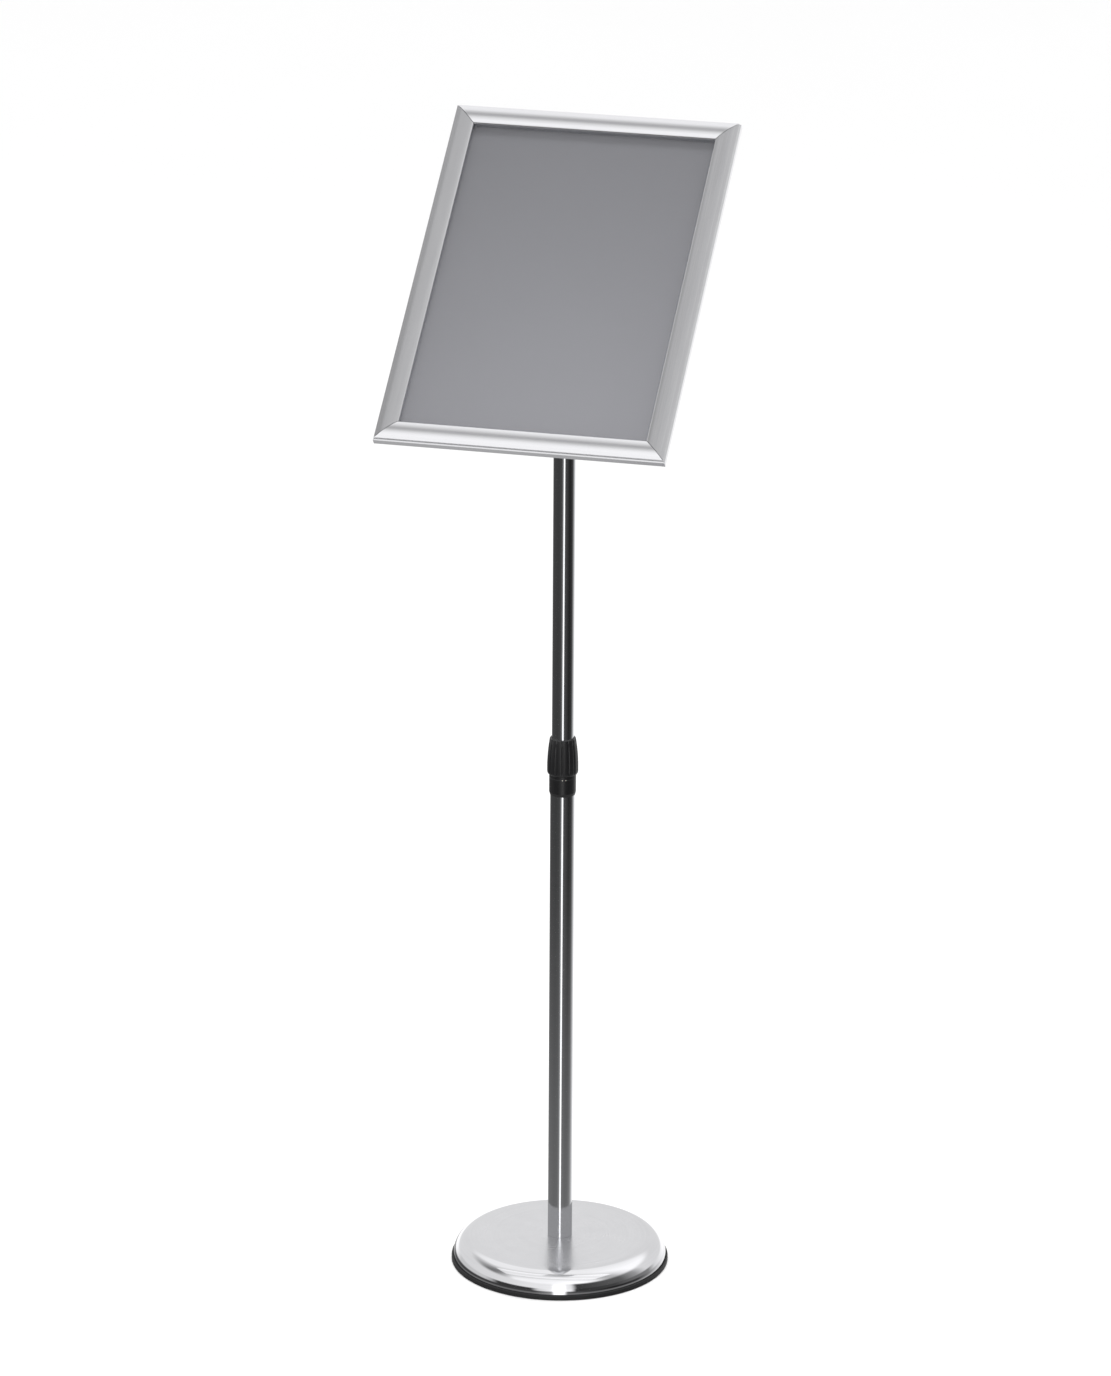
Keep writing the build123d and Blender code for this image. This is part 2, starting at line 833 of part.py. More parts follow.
def sheet(bottom, top):
    """Flat sheet of the sign's paper size, between two heights above the frame's back."""
    middle = frame_back + (bottom + top) / 2
    return on_pivot(Pos(0, 0, middle) * Box(sheet_width, sheet_height, top - bottom))


# ---- Parts --------------------------------------------------------------------------------------

def all_parts():
    parts = {
        "base_edge_ring": base_edge_ring(),
        "base_cover": base_cover(),
        "base_weight": base_weight(),
        "base_pad": base_pad(),
        "base_bolt": base_bolt(),
        "base_washer": base_washer(),
        "base_spring_washer": base_spring_washer(),
        "tube_foot_insert": tube_foot_insert(),
        "lower_tube": lower_tube(),
        "lock_body": lock_body(),
        "lock_nut": lock_nut(),
        "collet": collet(),
        "upper_tube": upper_tube(),
        "guide_bush": guide_bush(),
        "pole_head": pole_head(),
        "tilt_bracket": tilt_bracket(),
        "tilt_washers": tilt_washers(),
        "tilt_bolt": tilt_bolt(),
        "knob_washer": knob_washer(),
        "tilt_knob": tilt_knob(),
        "knob_insert": knob_insert(),
        "turn_plate": turn_plate(),
        "friction_disc": friction_disc(),
        "plate_rivets": plate_rivets(),
        "stop_pin": stop_pin(),
        "turn_bolt": turn_bolt(),
        "turn_washer": turn_washer(),
        "turn_nut": turn_nut(),
        "cross_bar": cross_bar(),
        "bar_screws": bar_screws(),
        "corner_keys": corner_keys(),
        "rail_springs": rail_springs(),
        "back_panel": sheet(back_wall, panel_front),
        "sign_sheet": sheet(panel_front, sheet_front),
        "clear_cover": sheet(sheet_front, clear_front),
    }
    for side in sides:
        parts["back_rail_" + side] = back_rail(side)
        parts["snap_rail_" + side] = snap_rail(side)
    return parts


os.makedirs("parts", exist_ok=True)
for name, shape in all_parts().items():
    export_step(shape, os.path.join("parts", name + ".step"))
    print(name, round(shape.volume))
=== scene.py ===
import json
import math

import bmesh
import bpy
from mathutils import Matrix, Vector


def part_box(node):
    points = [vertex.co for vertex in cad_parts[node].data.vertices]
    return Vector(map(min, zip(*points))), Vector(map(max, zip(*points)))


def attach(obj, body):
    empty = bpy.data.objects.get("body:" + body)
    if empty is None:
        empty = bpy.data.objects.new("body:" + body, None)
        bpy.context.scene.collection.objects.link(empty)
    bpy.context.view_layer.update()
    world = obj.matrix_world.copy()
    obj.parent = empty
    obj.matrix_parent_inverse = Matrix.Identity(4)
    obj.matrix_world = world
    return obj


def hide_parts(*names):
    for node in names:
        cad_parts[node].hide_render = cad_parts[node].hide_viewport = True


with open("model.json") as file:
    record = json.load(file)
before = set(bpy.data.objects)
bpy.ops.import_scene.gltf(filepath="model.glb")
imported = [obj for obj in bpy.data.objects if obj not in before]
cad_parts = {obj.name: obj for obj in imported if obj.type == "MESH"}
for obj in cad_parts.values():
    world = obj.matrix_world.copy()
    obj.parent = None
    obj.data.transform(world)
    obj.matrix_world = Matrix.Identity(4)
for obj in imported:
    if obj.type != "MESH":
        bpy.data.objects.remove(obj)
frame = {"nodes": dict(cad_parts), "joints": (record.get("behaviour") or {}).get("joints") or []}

scene = bpy.context.scene
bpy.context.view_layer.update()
mm = 0.001
joints = {joint["name"]: joint for joint in frame["joints"]}

# The sign's own axes: X to a reader's right, Y up its face, Z out of its face
signNormal = Vector(joints["sign_turn"]["axis"]).normalized()
signUp = Vector((0, signNormal.z, -signNormal.y))
signAxes = Matrix((Vector((1, 0, 0)), signUp, signNormal)).transposed().to_4x4()
signPlace = Matrix.Translation(joints["sign_tilt"]["pos_m"]) @ signAxes
signLean = math.atan2(signNormal.z, -signNormal.y)


def signBox(name):
    toSign = signPlace.inverted()
    points = [toSign @ v.co for v in frame["nodes"][name].data.vertices]
    low = Vector([min(p[i] for p in points) for i in range(3)])
    high = Vector([max(p[i] for p in points) for i in range(3)])
    return low, high


def linear(hexText):
    channels = [int(hexText[i:i + 2], 16) / 255 for i in (1, 3, 5)]
    return [c / 12.92 if c <= 0.04045 else ((c + 0.055) / 1.055) ** 2.4 for c in channels] + [1.0]


def addNode(tree, kind, settings=None, links=None):
    node = tree.nodes.new(kind)
    for key, value in (settings or {}).items():
        if isinstance(key, str) and key in node.bl_rna.properties:
            setattr(node, key, value)
        else:
            node.inputs[key].default_value = value
    for key, source in (links or {}).items():
        tree.links.new(source, node.inputs[key])
    return node


# Materials. Each layer is a pattern with its pitch in mm along three axes, and how far it moves
# the colour (share of the way from dark to light), the roughness and the height (mm).
def makeMaterial(recipe):
    material = bpy.data.materials.new(recipe["name"])
    material.use_nodes = True
    tree = material.node_tree
    tree.nodes.clear()
    output = addNode(tree, "ShaderNodeOutputMaterial")
    shader = addNode(tree, "ShaderNodeBsdfPrincipled", {
        "Base Color": linear(recipe["light"]), "Metallic": recipe.get("metallic", 0.0),
        "Roughness": recipe["roughness"]})
    for key, value in recipe.get("shader", {}).items():
        shader.inputs[key].default_value = value
    tree.links.new(shader.outputs["BSDF"], output.inputs["Surface"])
    where = addNode(tree, "ShaderNodeTexCoord").outputs["Object"]
    if recipe.get("round"):
        # Round work: unit vector about the axis, and distance along the profile
        split = addNode(tree, "ShaderNodeSeparateXYZ", None, {0: where})
        flat = addNode(tree, "ShaderNodeCombineXYZ", None, {0: split.outputs[0], 1: split.outputs[1]})
        radius = addNode(tree, "ShaderNodeVectorMath", {"operation": "LENGTH"}, {0: flat.outputs[0]})
        unit = addNode(tree, "ShaderNodeVectorMath", {"operation": "NORMALIZE"}, {0: flat.outputs[0]})
        along = addNode(tree, "ShaderNodeMath", {"operation": "SUBTRACT"},
                        {0: radius.outputs["Value"], 1: split.outputs[2]})
        unitSplit = addNode(tree, "ShaderNodeSeparateXYZ", None, {0: unit.outputs[0]})
        where = addNode(tree, "ShaderNodeCombineXYZ", None, {
            0: unitSplit.outputs[0], 1: unitSplit.outputs[1], 2: along.outputs[0]}).outputs[0]
    elif recipe.get("turn"):
        where = addNode(tree, "ShaderNodeMapping", {"vector_type": "TEXTURE", "Rotation": recipe["turn"]},
                        {"Vector": where}).outputs[0]
    sums = {"color": None, "rough": None, "bump": None}
    starts = {"color": 0.5, "rough": recipe["roughness"], "bump": 0.0}
    for kind in ("color", "rough"):
        starts[kind] -= sum(layer.get(kind, 0.0) for layer in recipe["layers"]) / 2
    if "rim" in recipe:
        # From one distance from the axis to another, in mm, the roughness changes to the rim's own
        sums["rough"] = addNode(tree, "ShaderNodeMapRange", {
            "From Min": recipe["rim"][0] * mm, "From Max": recipe["rim"][1] * mm, "To Min": starts["rough"],
            "To Max": starts["rough"] + recipe["rim"][2] - recipe["roughness"]},
            {"Value": radius.outputs["Value"]}).outputs[0]
    for layer in recipe["layers"]:
        scale = [1 / (pitch * mm) for pitch in layer["pitch"]]
        spot = addNode(tree, "ShaderNodeMapping", {"Scale": scale}, {"Vector": where})
        if layer["kind"] == "cells":
            pattern = addNode(tree, "ShaderNodeTexVoronoi", {"Scale": 1.0}, {"Vector": spot.outputs[0]})
            value = pattern.outputs["Distance"]
        else:
            pattern = addNode(tree, "ShaderNodeTexNoise", {"Scale": 1.0, "Detail": layer["detail"]},
                              {"Vector": spot.outputs[0]})
            value = pattern.outputs[0]
        for kind in sums:
            if not layer.get(kind):
                continue
            node = addNode(tree, "ShaderNodeMath", {
                "operation": "MULTIPLY_ADD", 1: layer[kind], 2: starts[kind]}, {0: value})
            if sums[kind]:
                tree.links.new(sums[kind], node.inputs[2])
            sums[kind] = node.outputs[0]
    if sums["color"]:
        mix = addNode(tree, "ShaderNodeMix", {
            "data_type": "RGBA", 6: linear(recipe["dark"]), 7: linear(recipe["light"])}, {0: sums["color"]})
        tree.links.new(mix.outputs[2], shader.inputs["Base Color"])
    if sums["rough"]:
        tree.links.new(sums["rough"], shader.inputs["Roughness"])
    if sums["bump"]:
        bump = addNode(tree, "ShaderNodeBump", {"Strength": 1.0, "Distance": mm}, {"Height": sums["bump"]})
        tree.links.new(bump.outputs[0], shader.inputs["Normal"])
    return material


finishes = {}

# Mirror-polished stainless tube: the buffing leaves faint rings round it, drawn 3 mm apart so that they show
finishes["polishedStainlessTube"] = makeMaterial({
    "name": "polishedStainlessTube", "light": "#e2e3e5", "dark": "#d3d4d7", "metallic": 1.0,
    "roughness": 0.075, "round": True, "layers": [
        {"kind": "noise", "pitch": (900, 900, 3.0), "detail": 3, "color": 0.5, "rough": 0.03},
        {"kind": "noise", "pitch": (700, 700, 40), "detail": 2, "color": 0.4, "rough": 0.03},
        {"kind": "noise", "pitch": (800, 800, 90), "detail": 1, "bump": 0.02}]})

# Spun and polished stainless cover: concentric tool lines, a soft mottle from polishing
finishes["spunStainlessCover"] = makeMaterial({
    "name": "spunStainlessCover", "light": "#e2e2e4", "dark": "#d2d2d5", "metallic": 1.0,
    "roughness": 0.26, "round": True, "rim": (92, 105, 0.08), "layers": [
        {"kind": "noise", "pitch": (1200, 1200, 1.4), "detail": 3, "color": 0.6, "rough": 0.04},
        {"kind": "noise", "pitch": (300, 300, 25), "detail": 3, "color": 0.4, "rough": 0.05},
        {"kind": "noise", "pitch": (900, 900, 60), "detail": 1, "bump": 0.015}]})

# Extruded aluminium, etched and anodised silver: a satin face with die lines along the rail
dieLines = [
    {"kind": "noise", "pitch": (900, 0.9, 0.9), "detail": 3, "color": 0.7, "rough": 0.07, "bump": 0.006},
    {"kind": "noise", "pitch": (60, 7, 7), "detail": 2, "color": 0.3, "rough": 0.04},
    {"kind": "noise", "pitch": (0.8, 0.8, 0.8), "detail": 1, "rough": 0.05, "bump": 0.002}]
finishes["anodisedRailAcross"] = makeMaterial({
    "name": "anodisedRailAcross", "light": "#e4e4e6", "dark": "#d6d6d9", "metallic": 1.0,
    "roughness": 0.22, "turn": (signLean - math.pi / 2, 0, 0), "layers": dieLines})
upLines = [dict(layer, pitch=(layer["pitch"][1], layer["pitch"][0], layer["pitch"][2])) for layer in dieLines]
finishes["anodisedRailUpright"] = makeMaterial({
    "name": "anodisedRailUpright", "light": "#e4e4e6", "dark": "#d6d6d9", "metallic": 1.0,
    "roughness": 0.22, "turn": (math.pi / 2 - signLean, 0, 0), "layers": upLines})

# Moulded black ABS: satin, with the fine spark-eroded texture of its mould
finishes["mouldedBlackAbs"] = makeMaterial({
    "name": "mouldedBlackAbs", "light": "#0e0e11", "dark": "#09090b", "roughness": 0.36,
    "shader": {"IOR": 1.54}, "layers": [
        {"kind": "noise", "pitch": (0.7, 0.7, 0.7), "detail": 2, "color": 0.5, "rough": 0.06, "bump": 0.03},
        {"kind": "noise", "pitch": (14, 14, 14), "detail": 2, "color": 0.5, "rough": 0.08}]})

# Moulded black rubber: dull, slightly dusty, with flow marks round the ring
finishes["mouldedRubber"] = makeMaterial({
    "name": "mouldedRubber", "light": "#161617", "dark": "#0f0f10", "roughness": 0.62,
    "shader": {"IOR": 1.52}, "round": True, "layers": [
        {"kind": "noise", "pitch": (150, 150, 2.2), "detail": 2, "color": 0.5, "rough": 0.1, "bump": 0.04},
        {"kind": "noise", "pitch": (40, 40, 30), "detail": 4, "color": 0.5, "rough": 0.1}]})

# Matt grey printed sheet: an even ink film over fine paper fibres
finishes["greyPrintedSheet"] = makeMaterial({
    "name": "greyPrintedSheet", "light": "#58585c", "dark": "#525256", "roughness": 0.78,
    "shader": {"IOR": 1.46, "Specular IOR Level": 0.3}, "layers": [
        {"kind": "noise", "pitch": (0.9, 0.9, 0.9), "detail": 2, "color": 0.3, "bump": 0.003},
        {"kind": "noise", "pitch": (3, 1.2, 1.2), "detail": 3, "color": 0.3, "rough": 0.06},
        {"kind": "noise", "pitch": (160, 160, 160), "detail": 2, "color": 0.35}]})

# Anti-glare PET film: clear, with a very fine matting on its face
finishes["antiGlareFilm"] = makeMaterial({
    "name": "antiGlareFilm", "light": "#f2f3f5", "dark": "#eceef1", "roughness": 0.46,
    "shader": {"IOR": 1.57, "Alpha": 0.06, "Specular IOR Level": 0.35}, "layers": [
        {"kind": "noise", "pitch": (0.5, 0.5, 0.5), "detail": 2, "rough": 0.06, "bump": 0.001},
        {"kind": "noise", "pitch": (120, 120, 120), "detail": 1, "color": 0.4, "rough": 0.05}]})

# Black powder coat on steel: fine orange peel
finishes["blackPowderCoat"] = makeMaterial({
    "name": "blackPowderCoat", "light": "#29292b", "dark": "#212123", "roughness": 0.44,
    "shader": {"IOR": 1.5}, "layers": [
        {"kind": "noise", "pitch": (1.3, 1.3, 1.3), "detail": 1, "rough": 0.05, "bump": 0.05},
        {"kind": "noise", "pitch": (20, 20, 20), "detail": 2, "color": 0.8, "rough": 0.05}]})

# Zinc-plated steel: grey-blue and cloudy, with a fine grain
finishes["zincPlatedSteel"] = makeMaterial({
    "name": "zincPlatedSteel", "light": "#c6c9ce", "dark": "#a9adb3", "metallic": 1.0, "roughness": 0.33,
    "layers": [
        {"kind": "noise", "pitch": (2.5, 2.5, 2.5), "detail": 3, "color": 0.6, "rough": 0.12},
        {"kind": "noise", "pitch": (0.5, 0.5, 0.5), "detail": 1, "color": 0.2, "bump": 0.008}]})

# Turned brass: bright with tool rings
finishes["turnedBrass"] = makeMaterial({
    "name": "turnedBrass", "light": "#d8b56a", "dark": "#bf9a50", "metallic": 1.0, "roughness": 0.26,
    "layers": [
        {"kind": "noise", "pitch": (0.5, 30, 30), "detail": 2, "color": 0.7, "rough": 0.08, "bump": 0.01}]})

# Natural nylon: milky and slightly translucent
finishes["naturalNylon"] = makeMaterial({
    "name": "naturalNylon", "light": "#dedacd", "dark": "#d0ccbd", "roughness": 0.42,
    "shader": {"IOR": 1.53, "Subsurface Weight": 0.15, "Subsurface Scale": 0.002}, "layers": [
        {"kind": "noise", "pitch": (5, 5, 5), "detail": 3, "color": 0.7, "rough": 0.08},
        {"kind": "noise", "pitch": (0.6, 0.6, 0.6), "detail": 1, "bump": 0.01}]})

# Black polystyrene sheet: calendered, low pebble
finishes["blackPolystyrene"] = makeMaterial({
    "name": "blackPolystyrene", "light": "#353537", "dark": "#2a2a2c", "roughness": 0.5,
    "shader": {"IOR": 1.59}, "layers": [
        {"kind": "cells", "pitch": (1.1, 1.1, 1.1), "rough": 0.08, "bump": 0.03},
        {"kind": "noise", "pitch": (60, 60, 60), "detail": 2, "color": 0.8, "rough": 0.08}]})

# Sand-cast iron under black paint: coarse sand skin
finishes["castIron"] = makeMaterial({
    "name": "castIron", "light": "#343434", "dark": "#1f1f20", "roughness": 0.66,
    "shader": {"IOR": 1.5}, "layers": [
        {"kind": "noise", "pitch": (1.6, 1.6, 1.6), "detail": 4, "color": 0.5, "rough": 0.1, "bump": 0.22},
        {"kind": "noise", "pitch": (35, 35, 35), "detail": 3, "color": 0.5, "bump": 0.2}]})

# Closed-cell foam: small round cells
finishes["closedCellFoam"] = makeMaterial({
    "name": "closedCellFoam", "light": "#3c3c3d", "dark": "#232324", "roughness": 0.9,
    "shader": {"IOR": 1.45, "Sheen Weight": 0.15}, "layers": [
        {"kind": "cells", "pitch": (1.5, 1.5, 1.5), "color": 0.6, "bump": 0.3},
        {"kind": "noise", "pitch": (25, 25, 25), "detail": 2, "color": 0.3}]})

# Pressed steel of the corner keys: rolled skin, dull bright
finishes["pressedSteel"] = makeMaterial({
    "name": "pressedSteel", "light": "#b6b7ba", "dark": "#9b9ca0", "metallic": 1.0, "roughness": 0.4,
    "layers": [
        {"kind": "noise", "pitch": (0.7, 14, 0.7), "detail": 2, "color": 0.6, "rough": 0.1, "bump": 0.01}]})

# Spring steel tempered blue
finishes["bluedSpringSteel"] = makeMaterial({
    "name": "bluedSpringSteel", "light": "#6d7484", "dark": "#4c5261", "metallic": 1.0, "roughness": 0.34,
    "layers": [
        {"kind": "noise", "pitch": (9, 9, 9), "detail": 3, "color": 0.7, "rough": 0.1},
        {"kind": "noise", "pitch": (0.6, 9, 0.6), "detail": 1, "bump": 0.006}]})
print("materials:", len(finishes))


# Shapes
def smoothed(piece, sharp=35):
    piece.data.shade_smooth()
    piece.data.set_sharp_from_angle(angle=math.radians(sharp))
    return piece


def newPiece(name, mesh, material, sharp=35):
    piece = bpy.data.objects.new(name, mesh)
    scene.collection.objects.link(piece)
    mesh.materials.clear()
    mesh.materials.append(finishes[material])
    return smoothed(piece, sharp)


def place(piece, body, slotName, *nodes):
    # Shading follows the large faces, so the small roundings at their edges don't bend it
    piece.modifiers.new("largeFaces", "WEIGHTED_NORMAL").keep_sharp = True
    settled(piece)
    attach(piece, body)
    if nodes:
        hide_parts(*nodes)
    return piece


def rounded(corners, steps=6):
    # corners: (x, y, radius) in mm; each radius becomes an arc
    points = []
    for i, (x, y, radius) in enumerate(corners):
        here = Vector((x, y))
        before = Vector(corners[i - 1][:2]) - here
        after = Vector(corners[(i + 1) % len(corners)][:2]) - here
        if radius <= 0:
            points.append((x, y))
            continue
        half = before.angle(after) / 2
        reach = min(radius / math.tan(half), 0.49 * before.length, 0.49 * after.length)
        radius = reach * math.tan(half)
        middle = here + (before.normalized() + after.normalized()).normalized() * (radius / math.sin(half))
        first = here + before.normalized() * reach - middle
        last = here + after.normalized() * reach - middle
        turn = first.angle_signed(last)
        for step in range(steps + 1):
            spoke = first.copy()
            spoke.rotate(Matrix.Rotation(-turn * step / steps, 2))
            points.append(tuple(middle + spoke))
    return points


def lathe(name, profile, segments=128, skin=None):
    # profile: closed list of (radius, height) in mm, turned about Z
    work = bmesh.new()
    layer = work.verts.layers.float.new("skin")
    rings = []
    for radius, height in profile:
        ring = []
        for step in range(segments):
            angle = 2 * math.pi * step / segments
            v = work.verts.new((radius * mm * math.cos(angle), radius * mm * math.sin(angle), height * mm))
            v[layer] = 1.0 if skin and skin(radius, height) else 0.0
            ring.append(v)
        rings.append(ring)
    for i, ring in enumerate(rings):
        other = rings[(i + 1) % len(rings)]
        for step in range(segments):
            after = (step + 1) % segments
            work.faces.new((ring[step], ring[after], other[after], other[step]))
    bmesh.ops.remove_doubles(work, verts=work.verts, dist=1e-7)
    bmesh.ops.recalc_face_normals(work, faces=work.faces)
    mesh = bpy.data.meshes.new(name)
    work.to_mesh(mesh)
    work.free()
    return mesh


def softened(name, node, material, width=0.4, sharp=30):
    # Copy of a CAD node with its edges broken
    mesh = frame["nodes"][node].data.copy()
    work = bmesh.new()
    work.from_mesh(mesh)
    bmesh.ops.remove_doubles(work, verts=work.verts, dist=2e-6)
    bmesh.ops.dissolve_limit(work, angle_limit=math.radians(0.6), verts=work.verts, edges=work.edges)
    work.to_mesh(mesh)
    work.free()
    piece = newPiece(name, mesh, material, sharp)
    bevel = piece.modifiers.new("edges", "BEVEL")
    bevel.width = width * mm
    bevel.segments = 3
    bevel.limit_method = "ANGLE"
    bevel.angle_limit = math.radians(sharp)
    bevel.use_clamp_overlap = True
    bevel.harden_normals = False
    return smoothed(settled(piece), 50)


def settled(piece):
    bpy.context.view_layer.update()
    graph = bpy.context.evaluated_depsgraph_get()
    mesh = bpy.data.meshes.new_from_object(
        piece.evaluated_get(graph), preserve_all_data_layers=True, depsgraph=graph)
    piece.modifiers.clear()
    piece.data = mesh
    return piece


def newTree(name, inputs):
    tree = bpy.data.node_groups.new(name, "GeometryNodeTree")
    tree.interface.new_socket("Geometry", in_out="INPUT", socket_type="NodeSocketGeometry")
    for label, kind in inputs.items():
        tree.interface.new_socket(label, in_out="INPUT", socket_type="NodeSocket" + kind)
    tree.interface.new_socket("Geometry", in_out="OUTPUT", socket_type="NodeSocketGeometry")
    return tree, addNode(tree, "NodeGroupInput"), addNode(tree, "NodeGroupOutput")


def runTree(piece, tree, values):
    modifier = piece.modifiers.new(tree.name, "NODES")
    modifier.node_group = tree
    for item in tree.interface.items_tree:
        if item.item_type == "SOCKET" and item.in_out == "INPUT" and item.name in values:
            modifier[item.identifier] = values[item.name]
    return settled(piece)


def closeTree(tree, start, end, shape):
    real = addNode(tree, "GeometryNodeRealizeInstances", None, {0: shape})
    paint = addNode(tree, "GeometryNodeSetMaterial", None, {
        "Geometry": real.outputs[0], "Material": start.outputs["Material"]})
    tree.links.new(paint.outputs[0], end.inputs[0])


# Flutes: even hollows carved round a turned piece, only where its skin attribute is 1
def flutesTree():
    tree, start, end = newTree("evenFlutes", {
        "Count": "Float", "Depth": "Float", "Share": "Float", "Low": "Float", "High": "Float",
        "Fade": "Float", "Material": "Material"})
    spot = addNode(tree, "GeometryNodeInputPosition")
    split = addNode(tree, "ShaderNodeSeparateXYZ", None, {0: spot.outputs[0]})
    flat = addNode(tree, "ShaderNodeCombineXYZ", None, {0: split.outputs[0], 1: split.outputs[1]})
    outward = addNode(tree, "ShaderNodeVectorMath", {"operation": "NORMALIZE"}, {0: flat.outputs[0]})
    angle = addNode(tree, "ShaderNodeMath", {"operation": "ARCTAN2"}, {0: split.outputs[1], 1: split.outputs[0]})
    share = addNode(tree, "ShaderNodeMath", {"operation": "MULTIPLY", 1: 1 / (2 * math.pi)}, {0: angle.outputs[0]})
    times = addNode(tree, "ShaderNodeMath", {"operation": "MULTIPLY"},
                    {0: share.outputs[0], 1: start.outputs["Count"]})
    wave = addNode(tree, "ShaderNodeMath", {"operation": "PINGPONG", 1: 0.5}, {0: times.outputs[0]})
    edge = addNode(tree, "ShaderNodeMath", {"operation": "MULTIPLY", 1: 0.5}, {0: start.outputs["Share"]})
    hollow = addNode(tree, "ShaderNodeMapRange", {"interpolation_type": "SMOOTHERSTEP", 3: 1.0, 4: 0.0},
                     {0: wave.outputs[0], 2: edge.outputs[0]})
    lowTop = addNode(tree, "ShaderNodeMath", {"operation": "ADD"},
                     {0: start.outputs["Low"], 1: start.outputs["Fade"]})
    highTop = addNode(tree, "ShaderNodeMath", {"operation": "ADD"},
                      {0: start.outputs["High"], 1: start.outputs["Fade"]})
    rise = addNode(tree, "ShaderNodeMapRange", {"interpolation_type": "SMOOTHSTEP"},
                   {0: split.outputs[2], 1: start.outputs["Low"], 2: lowTop.outputs[0]})
    fall = addNode(tree, "ShaderNodeMapRange", {"interpolation_type": "SMOOTHSTEP", 3: 1.0, 4: 0.0},
                   {0: split.outputs[2], 1: start.outputs["High"], 2: highTop.outputs[0]})
    skin = addNode(tree, "GeometryNodeInputNamedAttribute", {"data_type": "FLOAT", "Name": "skin"})
    amount = hollow.outputs[0]
    for factor in (rise.outputs[0], fall.outputs[0], skin.outputs[0], start.outputs["Depth"]):
        amount = addNode(tree, "ShaderNodeMath", {"operation": "MULTIPLY"}, {0: amount, 1: factor}).outputs[0]
    inward = addNode(tree, "ShaderNodeMath", {"operation": "MULTIPLY", 1: -1.0}, {0: amount})
    offset = addNode(tree, "ShaderNodeVectorMath", {"operation": "SCALE"},
                     {0: outward.outputs[0], 3: inward.outputs[0]})
    move = addNode(tree, "GeometryNodeSetPosition", None, {
        "Geometry": start.outputs["Geometry"], "Offset": offset.outputs[0]})
    closeTree(tree, start, end, move.outputs[0])
    return tree


# Copies of one shape on the piece's points
def copiesTree():
    tree, start, end = newTree("copiesOnPoints", {"Shape": "Object", "Material": "Material"})
    shape = addNode(tree, "GeometryNodeObjectInfo", None, {"Object": start.outputs["Shape"]})
    copies = addNode(tree, "GeometryNodeInstanceOnPoints", None, {
        "Points": start.outputs["Geometry"], "Instance": shape.outputs["Geometry"]})
    closeTree(tree, start, end, copies.outputs[0])
    return tree


# Cross-head screws: a cross is cut into the shape's end before it is copied
def crossScrewsTree():
    tree, start, end = newTree("crossHeadScrews", {
        "Shape": "Object", "Slot length": "Float", "Slot width": "Float", "Slot depth": "Float",
        "Head end": "Float", "Material": "Material"})
    shape = addNode(tree, "GeometryNodeObjectInfo", None, {"Object": start.outputs["Shape"]})
    centre = addNode(tree, "ShaderNodeCombineXYZ", None, {2: start.outputs["Head end"]})
    twice = addNode(tree, "ShaderNodeMath", {"operation": "MULTIPLY", 1: 2.0}, {0: start.outputs["Slot depth"]})
    bars = []
    for order in (("Slot length", "Slot width"), ("Slot width", "Slot length")):
        size = addNode(tree, "ShaderNodeCombineXYZ", None, {
            0: start.outputs[order[0]], 1: start.outputs[order[1]], 2: twice.outputs[0]})
        cube = addNode(tree, "GeometryNodeMeshCube", None, {"Size": size.outputs[0]})
        bars.append(addNode(tree, "GeometryNodeTransform", None, {
            "Geometry": cube.outputs[0], "Translation": centre.outputs[0]}))
    cut = addNode(tree, "GeometryNodeMeshBoolean", {"operation": "DIFFERENCE"}, {
        "Mesh 1": shape.outputs["Geometry"]})
    for bar in bars:
        tree.links.new(bar.outputs[0], cut.inputs["Mesh 2"])
    copies = addNode(tree, "GeometryNodeInstanceOnPoints", None, {
        "Points": start.outputs["Geometry"], "Instance": cut.outputs[0]})
    closeTree(tree, start, end, copies.outputs[0])
    return tree


def pointPiece(name, places):
    mesh = bpy.data.meshes.new(name)
    mesh.from_pydata([tuple(p) for p in places], [], [])
    piece = bpy.data.objects.new(name, mesh)
    scene.collection.objects.link(piece)
    return piece


def copied(name, shapeMesh, places, tree, material, extra=None):
    shape = newPiece(name + "Shape", shapeMesh, material)
    piece = pointPiece(name, places)
    runTree(piece, tree, dict({"Shape": shape, "Material": finishes[material]}, **(extra or {})))
    bpy.data.objects.remove(shape)
    return smoothed(piece)


flutes, copies, crossScrews = flutesTree(), copiesTree(), crossScrewsTree()

# Base: rubber edge ring
ring = {"round": 0.9, "groove": 0.2, "grooveHeights": (1.7, 3.4), "grooveWidth": 0.4, "inner": 111.15,
        "play": 0.05, "around": 224}
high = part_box("base_edge_ring")[1]
outer, top, inner = high.x / mm, high.z / mm, ring["inner"]
seat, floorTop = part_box("base_cover")[1].x / mm + ring["play"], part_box("base_pad")[1].z / mm
profile = [(inner, 0, 0.2), (outer, 0, ring["round"])]
for height in ring["grooveHeights"]:
    profile += [(outer, height, 0.1), (outer - ring["groove"], height + ring["grooveWidth"] / 2, 0.1),
                (outer, height + ring["grooveWidth"], 0.1)]
profile += [(outer, top, ring["round"]), (seat, top, 0.4), (seat, floorTop, 0), (inner, floorTop, 0.2)]
place(newPiece("baseEdgeRing", lathe("baseEdgeRing", rounded(profile, 4), ring["around"]), "mouldedRubber"),
      "stand", "black_rubber", "base_edge_ring")

# Base: spun cover, a shallow dome with a rolled shoulder
cover = {"shoulder": 20.8, "drop": 1.4, "wall": 1.0, "flat": 18.0, "dome": 0.3, "hole": 5.25,
         "domeSteps": 12, "shoulderSteps": 28, "around": 256}
low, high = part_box("base_cover")
outer, top, foot = high.x / mm, high.z / mm, low.z / mm
start = outer - cover["shoulder"]


